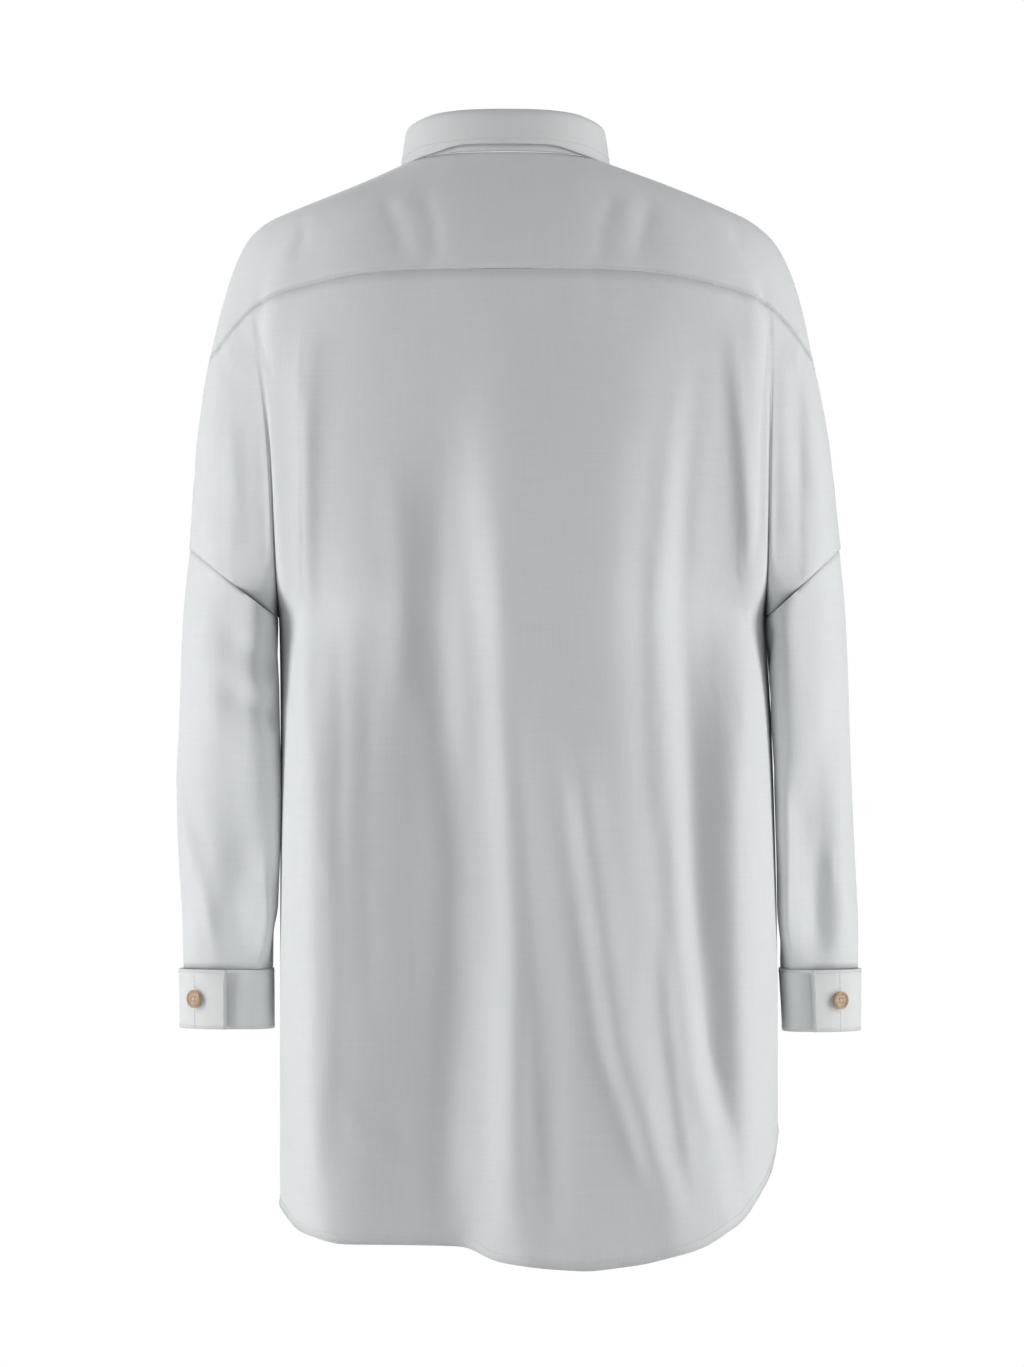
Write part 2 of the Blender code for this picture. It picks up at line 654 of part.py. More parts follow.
def moved_out(rows, distance):
    """Rows of points moved out along the normals of the sheet that they make."""
    result = []
    for r, row in enumerate(rows):
        moved = []
        for c, point in enumerate(row):
            across = row[min(c + 1, len(row) - 1)] - row[max(c - 1, 0)]
            down = rows[min(r + 1, len(rows) - 1)][c] - rows[max(r - 1, 0)][c]
            normal = across.cross(down).normalized()
            if normal.dot(Vector((point.x, point.y - SIDE_Y, 0))) < 0:
                normal.negate()
            moved.append(point + normal * distance)
        result.append(moved)
    return result


def placket_piece():
    rows = []
    for t in front_rows():
        edge = centre_edge(t)
        rows.append([front_point(t, s) for s in spread(2, -edge, edge)])
    return Piece("placket", grid_cells(moved_out(rows, SEAM + CLOTH)), from_axis)


def sleeve_piece(side):
    rows = [[armhole_point(side, turn) for turn in spread(ARM_COLUMNS, 0, 1)]]
    middle = (rows[0][0] + rows[0][-1]) / 2
    rows[0][0] = middle
    rows[0][-1] = middle
    for t in spread(SLEEVE_ROWS, 0, CUFF_TUBE)[1:]:
        rows.append([sleeve_point(side, t, turn) for turn in spread(ARM_COLUMNS, 0, 1)])
    for row in rows[1:]:
        row[-1] = row[0]
    name = "sleeve_left" if side > 0 else "sleeve_right"
    return Piece(name, grid_cells(rows), from_arm(side))


def cuff_rows(side):
    """Rows of a lapped cuff: from under its other end over the inner line and once round."""
    end = CUFF_END[side]
    rows = []
    for t in spread(CUFF_ROWS, CUFF_TUBE, len(SLEEVES[side]) - 1):
        row = []
        for part in spread(CUFF_COLUMNS, 0, 1):
            turn = end + CUFF_LAP - (1 + CUFF_LAP) * part
            lift = CUFF_OUT + CUFF_STEP * ease((part - CUFF_LIFT_FROM) / CUFF_LIFT_EASE)
            point = sleeve_point(side, t, turn % 1)
            point.z -= SEAM
            tube = row_at(SLEEVES[side], t)
            middle = Vector((side * (tube.outer + tube.inner) / 2, tube.y, point.z))
            row.append(point + (point - middle).normalized() * lift)
        rows.append(row)
    return rows


def cuff_piece(side):
    name = "cuff_left" if side > 0 else "cuff_right"
    return Piece(name, grid_cells(cuff_rows(side)), from_arm(side))


# Half of the back, or of the front, and the whole of an arm as parts of a turn.
FACE_SHARE = 0.16
ARM_SHARE = 0.5 - 2 * FACE_SHARE
TURN_STEP = 0.01


def round_neck(turn, t=0.0):
    """Point of a ring round the neck by turn: 0 at the centre front, 0.5 at the back."""
    curves = upper_curves(t)
    angle = turn % 1
    from_back = angle - 0.5
    if abs(from_back) <= FACE_SHARE:
        return upper_face(curves, 1, from_back / FACE_SHARE)
    if abs(from_back) > 0.5 - FACE_SHARE:
        return upper_face(curves, -1, -(angle if angle < 0.5 else angle - 1) / FACE_SHARE)
    side = 1 if from_back > 0 else -1
    return upper_arm(curves, side, (abs(from_back) - FACE_SHARE) / ARM_SHARE)


def backness(turn):
    """0 at the centre front to 1 at the centre back."""
    return 0.5 - 0.5 * math.cos(math.tau * turn)


def collar_height(turn):
    return STAND_FRONT + (STAND_HEIGHT - STAND_FRONT) * backness(turn)


def neck_outward(turn):
    ahead = round_neck(turn + TURN_STEP) - round_neck(turn - TURN_STEP)
    return Vector((-ahead.y, ahead.x, 0)).normalized()


def stand_point(turn, part, out=0.0):
    lean = STAND_LEAN * (1 + backness(turn))
    height = STAND_CLEAR + part * collar_height(turn)
    return round_neck(turn) + neck_outward(turn) * (out - lean * part) + Vector((0, 0, height))


def stand_piece():
    reach = STAND_LAP / NECK_ROUND
    rows = []
    for part in spread(STAND_ROWS, 1, 0):
        row = []
        for turn in spread(COLLAR_COLUMNS, -reach, 1 + reach):
            under = ease((turn - STAND_UNDER_FROM) / STAND_UNDER_EASE)
            row.append(stand_point(turn, part, -STAND_STEP * under))
        rows.append(row)
    return Piece("collar_stand", grid_cells(rows), from_axis)


def chest_point(turn, distance):
    """Point of the shirt at a distance down from the neck seam."""
    t = 0.0
    while True:
        step = (round_neck(turn, t + 1) - round_neck(turn, t)).length
        if distance < step:
            return round_neck(turn, t + distance / step)
        distance -= step
        t += 1


def leaf_point(turn, part):
    """Point of the leaf, part 0 at the fold line to 1 at its edge."""
    side = min(turn, 1 - turn)
    growth = (LEAF_GROWS_FROM - side) / (LEAF_GROWS_FROM - LEAF_POINT_AT)
    growth = min(max(growth, 0), 1) ** LEAF_GROWTH
    height = collar_height(turn)
    down = part * (LEAF_BACK + (LEAF_POINT - LEAF_BACK) * growth)
    roll = min(down / LEAF_ROLL, 1.0)
    out = LEAF_OUT * math.sin(roll * math.pi / 2)
    crest = LEAF_CREST + LEAF_ROUND * math.sin(roll * math.pi)
    if down <= height:
        level = 1 - down / height
        over = ease((LEAF_GROWS_FROM - side) / LEAF_EASE) * ease(down / height)
        over *= LEAF_OVER_CHEST - LEAF_OUT
        return stand_point(turn, level, out + over) + Vector((0, 0, crest))
    below = down - height
    chest = chest_point(turn, below)
    foot = stand_point(turn, 0, LEAF_OVER_CHEST)
    lift = neck_outward(turn) * LEAF_OVER_CHEST + Vector((0, 0, LEAF_LIFT))
    return foot.lerp(chest + lift, min(below / LEAF_LANDING, 1.0))


def leaf_piece():
    rows = []
    for part in LEAF_ROWS:
        start = LEAF_START + LEAF_CUTAWAY * part
        rows.append([leaf_point(turn, part)
                     for turn in spread(COLLAR_COLUMNS, start, 1 - start)])
    return Piece("collar_leaf", grid_cells(rows), from_axis)


def build_button(name, centre, normal, radius, material):
    """A flat round button, its back a little off the cloth."""
    bpy.ops.mesh.primitive_cylinder_add(vertices=BUTTON_SIDES, radius=radius,
                                        depth=BUTTON_THICKNESS)
    button = bpy.context.object
    button.name = name
    button.data.name = name
    button.rotation_mode = "QUATERNION"
    button.rotation_quaternion = normal.to_track_quat("Z", "Y")
    button.location = centre + normal * (BUTTON_CLEAR + BUTTON_THICKNESS / 2)
    button.data.materials.append(material)
    for collection in list(button.users_collection):
        collection.objects.unlink(button)
    bpy.data.collections[COLLECTION].objects.link(button)
    return button


HALVINGS = 30
ROW_STEP = 0.05


def front_at_height(z):
    """Row of the fronts whose centre line is at the height."""
    low, high = 0.0, ARMHOLE_RING + 1.0
    for _ in range(HALVINGS):
        middle = (low + high) / 2
        if front_point(middle, 0).z > z:
            low = middle
        else:
            high = middle
    return (low + high) / 2


def build_buttons(material):
    for number, z in enumerate(FRONT_BUTTON_HEIGHTS, 1):
        t = front_at_height(z)
        slope = front_point(t + ROW_STEP, 0) - front_point(t - ROW_STEP, 0)
        normal = slope.cross(Vector((1, 0, 0))).normalized()
        if normal.y > 0:
            normal.negate()
        centre = front_point(t, 0) + normal * (SEAM + CLOTH)
        build_button(f"button_front_{number}", centre, normal, BUTTON_RADIUS, material)
    collar = stand_point(0, 0.5)
    build_button("button_collar", collar, Vector((0, -1, 0.1)).normalized(), BUTTON_RADIUS,
                 material)
    for side, name in ((1, "button_cuff_left"), (-1, "button_cuff_right")):
        rows = cuff_rows(side)
        last = CUFF_COLUMNS - CUFF_BUTTON_COLUMNS
        centre = (rows[1][last] + rows[2][last]) / 2
        across = rows[1][last + 1] - rows[1][last - 1]
        normal = across.cross(Vector((0, 0, 1))).normalized()
        if normal.y < 0:
            normal.negate()
        build_button(name, centre, normal, CUFF_BUTTON_RADIUS, material)


def skin_normals(panels):
    """Normals of the joined panels by corner, so that both sides of a seam lean alike."""
    totals = {}
    for piece in panels:
        mesh = sheet(piece.cells, piece.outward)
        for face in mesh.faces:
            for vert in face.verts:
                key = corner_key(vert.co)
                totals[key] = totals.get(key, Vector((0, 0, 0))) + face.normal
        mesh.free()
    return {key: total.normalized() for key, total in totals.items()}


def main():
    for thing in list(bpy.data.objects):
        bpy.data.objects.remove(thing)
    collection = bpy.data.collections.new(COLLECTION)
    bpy.context.scene.collection.children.link(collection)
    body = new_material("shirt cloth")
    bands = new_material("band cloth")
    buttons = new_material("button")
    panels = [yoke_piece(), back_piece(), front_piece(1), front_piece(-1)]
    normals = skin_normals(panels)
    for piece in panels:
        cloth_object(piece, body, normals)
    for side in (1, -1):
        cloth_object(sleeve_piece(side), body, {})
        cloth_object(cuff_piece(side), bands, {})
    for piece in (placket_piece(), stand_piece(), leaf_piece()):
        cloth_object(piece, bands, {})
    build_buttons(buttons)


main()
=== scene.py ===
import math

import bmesh
import bpy
import numpy as np
from mathutils import Matrix, Vector, kdtree, noise
from mathutils.bvhtree import BVHTree


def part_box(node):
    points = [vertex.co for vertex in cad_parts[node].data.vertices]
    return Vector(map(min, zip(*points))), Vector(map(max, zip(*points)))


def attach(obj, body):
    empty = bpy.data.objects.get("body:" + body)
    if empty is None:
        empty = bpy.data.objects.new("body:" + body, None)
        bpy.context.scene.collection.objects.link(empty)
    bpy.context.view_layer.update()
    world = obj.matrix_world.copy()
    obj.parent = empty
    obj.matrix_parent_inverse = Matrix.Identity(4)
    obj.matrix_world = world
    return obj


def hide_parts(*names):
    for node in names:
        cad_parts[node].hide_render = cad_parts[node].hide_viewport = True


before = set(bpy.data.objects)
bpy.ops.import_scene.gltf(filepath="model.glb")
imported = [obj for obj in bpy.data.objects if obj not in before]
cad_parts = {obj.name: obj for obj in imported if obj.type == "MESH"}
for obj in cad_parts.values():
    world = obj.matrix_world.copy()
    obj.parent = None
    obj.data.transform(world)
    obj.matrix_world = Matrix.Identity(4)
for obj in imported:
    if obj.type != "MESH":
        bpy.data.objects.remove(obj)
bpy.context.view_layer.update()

# Metres. The wearer faces -Y and the wearer's left is +X; the photograph shows the back.
sideDepth = -0.005       # depth of the side seams


cameraSettings = {"distance": 6.0, "across": -0.0038, "height": -0.389, "frameHeight": 1.0253}


def addCamera():
    sensorHeight = 24.0
    lens = sensorHeight * cameraSettings["distance"] / cameraSettings["frameHeight"]
    place = (cameraSettings["across"], cameraSettings["distance"], cameraSettings["height"])
    bpy.ops.object.camera_add(location=place, rotation=(math.pi / 2, 0, math.pi))
    camera = bpy.context.object
    camera.data.sensor_fit = "VERTICAL"
    camera.data.sensor_height = sensorHeight
    camera.data.lens = lens
    camera.data.clip_end = 30
    bpy.context.scene.camera = camera


lightSettings = (
    # name, place, aims at, width, height, power
    ("sideLightLeft", (1.7, 0.46, -0.25), (0.0, 0.02, -0.40), 0.8, 1.9, 20.0),
    ("sideLightRight", (-1.7, 0.46, -0.25), (0.0, 0.02, -0.40), 0.8, 1.9, 19.0),
    ("backFill", (0.0, 3.4, 2.2), (0.0, 0.0, -0.35), 2.0, 1.2, 9.0),
    ("frontLight", (0.9, -3.0, 1.1), (0.0, 0.0, -0.35), 1.8, 1.8, 30.0),
)


def addLights():
    for name, place, aim, width, height, power in lightSettings:
        bpy.ops.object.light_add(type="AREA", location=place)
        lamp = bpy.context.object
        lamp.name = name
        lamp.data.shape = "RECTANGLE"
        lamp.data.size = width
        lamp.data.size_y = height
        lamp.data.energy = power
        away = Vector(place) - Vector(aim)
        lamp.rotation_euler = away.to_track_quat("Z", "Y").to_euler()


# White where the camera looks past the shirt, and a soft cool light on the shirt itself.
worldSettings = {"seen": (1, 1, 1, 1), "seenStrength": 1.0, "lit": (0.96, 0.98, 1, 1),
                 "litStrength": 0.29}


def addWorld():
    world = bpy.data.worlds.new("paleStudio")
    bpy.context.scene.world = world
    world.use_nodes = True
    nodes = world.node_tree.nodes
    links = world.node_tree.links
    nodes.clear()
    seen = nodes.new("ShaderNodeBackground")
    seen.inputs["Color"].default_value = worldSettings["seen"]
    seen.inputs["Strength"].default_value = worldSettings["seenStrength"]
    lit = nodes.new("ShaderNodeBackground")
    lit.inputs["Color"].default_value = worldSettings["lit"]
    lit.inputs["Strength"].default_value = worldSettings["litStrength"]
    path = nodes.new("ShaderNodeLightPath")
    mix = nodes.new("ShaderNodeMixShader")
    output = nodes.new("ShaderNodeOutputWorld")
    links.new(path.outputs["Is Camera Ray"], mix.inputs["Fac"])
    links.new(lit.outputs["Background"], mix.inputs[1])
    links.new(seen.outputs["Background"], mix.inputs[2])
    links.new(mix.outputs["Shader"], output.inputs["Surface"])
    bpy.context.scene.view_settings.view_transform = "Standard"


floorSettings = {"radius": 1.5, "height": -1.32, "colour": (0.86, 0.86, 0.86, 1),
                 "roughness": 0.7}


def addFloor():
    bpy.ops.mesh.primitive_circle_add(vertices=96, radius=floorSettings["radius"],
                                      fill_type="NGON", location=(0, 0, 0))
    floor = bpy.context.object
    floor.name = "floor"
    for vertex in floor.data.vertices:
        vertex.co.z = floorSettings["height"]
    floor.data.materials.append(plainMaterial("floorPaint", floorSettings["colour"],
                                              floorSettings["roughness"]))


def selectOnly(piece):
    bpy.ops.object.select_all(action="DESELECT")
    piece.select_set(True)
    bpy.context.view_layer.objects.active = piece


def plainMaterial(name, colour, roughness):
    material = bpy.data.materials.new(name)
    material.use_nodes = True
    shader = material.node_tree.nodes["Principled BSDF"]
    shader.inputs["Base Color"].default_value = colour
    shader.inputs["Roughness"].default_value = roughness
    return material


def mathNode(tree, operation, first, second=None):
    node = tree.nodes.new("ShaderNodeMath")
    node.operation = operation
    for socket, value in zip(node.inputs, (first, second)):
        if value is None:
            continue
        if isinstance(value, (int, float)):
            socket.default_value = value
        else:
            tree.links.new(value, socket)
    return node.outputs["Value"]


# Slubs are long thick stretches of thread, across and along the cloth.
slubSettings = {"stretches": ((900, 24, 1), (24, 900, 1)), "detail": 3.0}


def makeWeaveGroup():
    group = bpy.data.node_groups.new("plainWeave", "ShaderNodeTree")
    face = group.interface
    face.new_socket("Thread Spacing", in_out="INPUT", socket_type="NodeSocketFloat")
    face.new_socket("Height", in_out="OUTPUT", socket_type="NodeSocketFloat")
    face.new_socket("Slub", in_out="OUTPUT", socket_type="NodeSocketFloat")
    entry = group.nodes.new("NodeGroupInput")
    leave = group.nodes.new("NodeGroupOutput")
    uv = group.nodes.new("ShaderNodeUVMap")
    uv.uv_map = "cloth"
    split = group.nodes.new("ShaderNodeSeparateXYZ")
    group.links.new(uv.outputs["UV"], split.inputs["Vector"])
    turns = mathNode(group, "DIVIDE", math.pi, entry.outputs["Thread Spacing"])
    across = mathNode(group, "MULTIPLY", split.outputs["X"], turns)
    down = mathNode(group, "MULTIPLY", split.outputs["Y"], turns)
    warp = mathNode(group, "ABSOLUTE", mathNode(group, "SINE", across))
    weft = mathNode(group, "ABSOLUTE", mathNode(group, "SINE", down))
    halfAcross = mathNode(group, "SINE", mathNode(group, "ADD", across, math.pi / 2))
    halfDown = mathNode(group, "SINE", mathNode(group, "ADD", down, math.pi / 2))
    over = mathNode(group, "MULTIPLY", halfAcross, halfDown)
    rise = mathNode(group, "MULTIPLY", over, mathNode(group, "SUBTRACT", warp, weft))
    body = mathNode(group, "ADD", mathNode(group, "MULTIPLY", warp, 0.5),
                    mathNode(group, "MULTIPLY", weft, 0.5))
    group.links.new(mathNode(group, "ADD", body, mathNode(group, "MULTIPLY", rise, 0.5)),
                    leave.inputs["Height"])
    slubs = []
    for stretch in slubSettings["stretches"]:
        mapping = group.nodes.new("ShaderNodeMapping")
        mapping.inputs["Scale"].default_value = stretch
        group.links.new(uv.outputs["UV"], mapping.inputs["Vector"])
        grain = group.nodes.new("ShaderNodeTexNoise")
        grain.inputs["Scale"].default_value = 1.0
        grain.inputs["Detail"].default_value = slubSettings["detail"]
        group.links.new(mapping.outputs["Vector"], grain.inputs["Vector"])
        slubs.append(grain.outputs["Fac"])
    both = mathNode(group, "MULTIPLY", mathNode(group, "ADD", slubs[0], slubs[1]), 0.5)
    group.links.new(both, leave.inputs["Slub"])
    return group


clothMaterialSettings = {
    "shirtCloth": {"light": (0.800, 0.812, 0.810, 1), "dark": (0.735, 0.750, 0.752, 1),
                   "spacing": 0.00062, "bump": 0.16, "wrinkle": 0.35},
    "bandCloth": {"light": (0.815, 0.825, 0.822, 1), "dark": (0.755, 0.768, 0.768, 1),
                  "spacing": 0.00062, "bump": 0.14, "wrinkle": 0.22},
}


def makeClothMaterial(name, weave):
    settings = clothMaterialSettings[name]
    material = plainMaterial(name, settings["light"], 0.86)
    tree = material.node_tree
    shader = tree.nodes["Principled BSDF"]
    shader.inputs["Sheen Weight"].default_value = 0.12
    shader.inputs["Sheen Roughness"].default_value = 0.5
    shader.inputs["Specular IOR Level"].default_value = 0.25
    threads = tree.nodes.new("ShaderNodeGroup")
    threads.node_tree = weave
    threads.inputs["Thread Spacing"].default_value = settings["spacing"]
    place = tree.nodes.new("ShaderNodeTexCoord")
    cloud = tree.nodes.new("ShaderNodeTexNoise")
    cloud.inputs["Scale"].default_value = 9.0
    cloud.inputs["Detail"].default_value = 4.0
    tree.links.new(place.outputs["Object"], cloud.inputs["Vector"])
    shade = mathNode(tree, "ADD", mathNode(tree, "MULTIPLY", threads.outputs["Slub"], 0.8),
                     mathNode(tree, "MULTIPLY", cloud.outputs["Fac"], 0.25))
    ramp = tree.nodes.new("ShaderNodeValToRGB")
    ramp.color_ramp.elements[0].position = 0.30
    ramp.color_ramp.elements[0].color = settings["dark"]
    ramp.color_ramp.elements[1].position = 0.68
    ramp.color_ramp.elements[1].color = settings["light"]
    tree.links.new(shade, ramp.inputs["Fac"])
    tree.links.new(ramp.outputs["Color"], shader.inputs["Base Color"])
    crinkle = tree.nodes.new("ShaderNodeTexNoise")
    crinkle.inputs["Scale"].default_value = 42.0
    crinkle.inputs["Detail"].default_value = 5.0
    crinkle.inputs["Roughness"].default_value = 0.55
    tree.links.new(place.outputs["Object"], crinkle.inputs["Vector"])
    soft = tree.nodes.new("ShaderNodeBump")
    soft.inputs["Strength"].default_value = settings["wrinkle"]
    soft.inputs["Distance"].default_value = 0.0016
    tree.links.new(crinkle.outputs["Fac"], soft.inputs["Height"])
    fine = tree.nodes.new("ShaderNodeBump")
    fine.inputs["Strength"].default_value = settings["bump"]
    fine.inputs["Distance"].default_value = 0.00025
    thread = mathNode(tree, "ADD", threads.outputs["Height"], threads.outputs["Slub"])
    tree.links.new(thread, fine.inputs["Height"])
    tree.links.new(soft.outputs["Normal"], fine.inputs["Normal"])
    tree.links.new(fine.outputs["Normal"], shader.inputs["Normal"])
    return material


def makeButtonMaterial():
    material = plainMaterial("buttonWood", (0.50, 0.31, 0.17, 1), 0.42)
    tree = material.node_tree
    shader = tree.nodes["Principled BSDF"]
    shader.inputs["Coat Weight"].default_value = 0.25
    shader.inputs["Coat Roughness"].default_value = 0.25
    place = tree.nodes.new("ShaderNodeTexCoord")
    mapping = tree.nodes.new("ShaderNodeMapping")
    mapping.inputs["Scale"].default_value = (900, 160, 160)
    tree.links.new(place.outputs["Object"], mapping.inputs["Vector"])
    grain = tree.nodes.new("ShaderNodeTexNoise")
    grain.inputs["Scale"].default_value = 1.0
    grain.inputs["Detail"].default_value = 4.0
    tree.links.new(mapping.outputs["Vector"], grain.inputs["Vector"])
    ramp = tree.nodes.new("ShaderNodeValToRGB")
    ramp.color_ramp.elements[0].position = 0.32
    ramp.color_ramp.elements[0].color = (0.36, 0.21, 0.11, 1)
    ramp.color_ramp.elements[1].position = 0.70
    ramp.color_ramp.elements[1].color = (0.62, 0.42, 0.25, 1)
    tree.links.new(grain.outputs["Fac"], ramp.inputs["Fac"])
    tree.links.new(ramp.outputs["Color"], shader.inputs["Base Color"])
    return material


# Each crease is a line of points (x, z) in metres, a width, a height and a kind. A ridge with
# a height under 0 is a trough. A step has a ridge on one side of its line and a trough on the
# other: stepLeft and stepRight say which.
backCreases = (
    # points, width, height, kind
    (((0.033, -0.150), (0.028, -0.221), (0.021, -0.281), (0.012, -0.380), (0.006, -0.476),
      (0.002, -0.567), (0.005, -0.656), (0.008, -0.739), (0.011, -0.840)),
     0.0150, 0.0052, "stepLeft"),
    (((-0.140, -0.120), (-0.130, -0.190), (-0.124, -0.260), (-0.121, -0.330), (-0.124, -0.400),
      (-0.130, -0.500), (-0.135, -0.590), (-0.142, -0.660), (-0.158, -0.730), (-0.176, -0.800)),
     0.0100, 0.0045, "stepRight"),
    (((0.046, -0.170), (0.048, -0.260), (0.050, -0.340), (0.044, -0.440), (0.036, -0.530),
      (0.038, -0.660), (0.040, -0.830)), 0.014, -0.0030, "ridge"),
    (((-0.143, -0.230), (-0.140, -0.380), (-0.146, -0.520), (-0.152, -0.650), (-0.170, -0.770)),
     0.014, -0.0030, "ridge"),
    (((0.004, -0.300), (-0.008, -0.450), (-0.017, -0.600), (-0.026, -0.820)),
     0.009, -0.0030, "ridge"),
    (((-0.040, -0.400), (-0.049, -0.476), (-0.061, -0.567), (-0.073, -0.656), (-0.100, -0.739),
      (-0.126, -0.800)), 0.0120, 0.0044, "stepLeft"),
    (((-0.020, -0.430), (-0.024, -0.520), (-0.030, -0.620), (-0.034, -0.740), (-0.036, -0.830)),
     0.014, -0.0026, "ridge"),
    (((-0.114, -0.560), (-0.120, -0.640), (-0.130, -0.720), (-0.140, -0.770)),
     0.006, 0.0024, "ridge"),
    (((-0.108, -0.260), (-0.108, -0.400), (-0.114, -0.520)), 0.008, 0.0022, "ridge"),
    (((0.084, -0.210), (0.078, -0.320), (0.079, -0.420)), 0.011, 0.0022, "ridge"),
    (((0.100, -0.360), (0.104, -0.500), (0.100, -0.640)), 0.007, -0.0014, "ridge"),
    (((0.124, -0.330), (0.122, -0.440), (0.126, -0.560)), 0.006, -0.0013, "ridge"),
    (((0.132, -0.460), (0.128, -0.600), (0.132, -0.720)), 0.007, 0.0014, "ridge"),
    (((0.116, -0.690), (0.096, -0.712), (0.070, -0.724)), 0.005, -0.0013, "ridge"),
    (((0.122, -0.708), (0.100, -0.728), (0.080, -0.738)), 0.005, 0.0013, "ridge"),
    (((0.108, -0.735), (0.088, -0.752), (0.060, -0.760)), 0.005, -0.0010, "ridge"),
    (((0.150, -0.120), (0.149, -0.220), (0.151, -0.330), (0.155, -0.480)), 0.008, 0.0030, "ridge"),
    (((-0.164, -0.110), (-0.175, -0.220), (-0.183, -0.330)), 0.007, 0.0028, "ridge"),
    (((-0.176, -0.420), (-0.178, -0.560), (-0.184, -0.690)), 0.007, -0.0018, "ridge"),
    (((0.150, -0.330), (0.152, -0.420), (0.152, -0.560), (0.150, -0.700), (0.148, -0.800)),
     0.018, 0.0120, "ridge"),
    (((-0.176, -0.250), (-0.180, -0.360), (-0.180, -0.500), (-0.182, -0.640), (-0.184, -0.800)),
     0.025, 0.0095, "ridge"),
    (((0.066, -0.018), (0.054, -0.048), (0.053, -0.082)), 0.0055, -0.0011, "ridge"),
    (((0.094, -0.022), (0.084, -0.048), (0.073, -0.076)), 0.0060, -0.0010, "ridge"),
    (((0.080, -0.020), (0.068, -0.048), (0.063, -0.080)), 0.0070, 0.0008, "ridge"),
    (((-0.081, -0.024), (-0.070, -0.052), (-0.069, -0.078)), 0.0055, -0.0011, "ridge"),
    (((-0.108, -0.026), (-0.102, -0.050), (-0.095, -0.080)), 0.0060, -0.0011, "ridge"),
    (((-0.095, -0.024), (-0.086, -0.050), (-0.082, -0.080)), 0.0070, 0.0008, "ridge"),
    (((0.153, -0.036), (0.151, -0.058), (0.160, -0.074)), 0.0060, -0.0016, "ridge"),
    (((-0.170, -0.036), (-0.173, -0.066)), 0.0060, -0.0014, "ridge"),
    (((0.205, -0.190), (0.202, -0.260), (0.206, -0.300)), 0.007, 0.0018, "ridge"),
    (((0.222, -0.200), (0.221, -0.270)), 0.007, -0.0016, "ridge"),
    (((-0.218, -0.140), (-0.216, -0.200), (-0.219, -0.260)), 0.007, -0.0018, "ridge"),
    (((-0.207, -0.130), (-0.207, -0.220), (-0.210, -0.300)), 0.006, 0.0016, "ridge"),
)

frontCreases = (
    (((0.120, -0.130), (0.116, -0.260), (0.104, -0.420), (0.108, -0.600), (0.104, -0.760)),
     0.011, -0.0048, "ridge"),
    (((0.088, -0.200), (0.078, -0.380), (0.082, -0.560), (0.072, -0.740)), 0.010, 0.0039, "ridge"),
    (((0.060, -0.110), (0.052, -0.170), (0.050, -0.240)), 0.007, -0.0025, "ridge"),
    (((0.140, -0.380), (0.134, -0.520), (0.140, -0.680)), 0.008, 0.0031, "ridge"),
    (((0.036, -0.440), (0.042, -0.600), (0.038, -0.740)), 0.009, -0.0028, "ridge"),
    (((-0.126, -0.130), (-0.124, -0.280), (-0.116, -0.430), (-0.126, -0.600), (-0.122, -0.740)),
     0.011, -0.0050, "ridge"),
    (((-0.098, -0.220), (-0.090, -0.400), (-0.100, -0.580), (-0.094, -0.740)),
     0.010, 0.0039, "ridge"),
    (((-0.066, -0.110), (-0.060, -0.180), (-0.060, -0.250)), 0.007, -0.0025, "ridge"),
    (((-0.152, -0.380), (-0.150, -0.540), (-0.158, -0.680)), 0.008, 0.0031, "ridge"),
    (((-0.058, -0.460), (-0.060, -0.620), (-0.054, -0.740)), 0.009, -0.0028, "ridge"),
    (((0.070, -0.060), (0.098, -0.090), (0.120, -0.110)), 0.006, -0.0020, "ridge"),
    (((-0.074, -0.060), (-0.100, -0.090), (-0.124, -0.110)), 0.006, -0.0020, "ridge"),
)

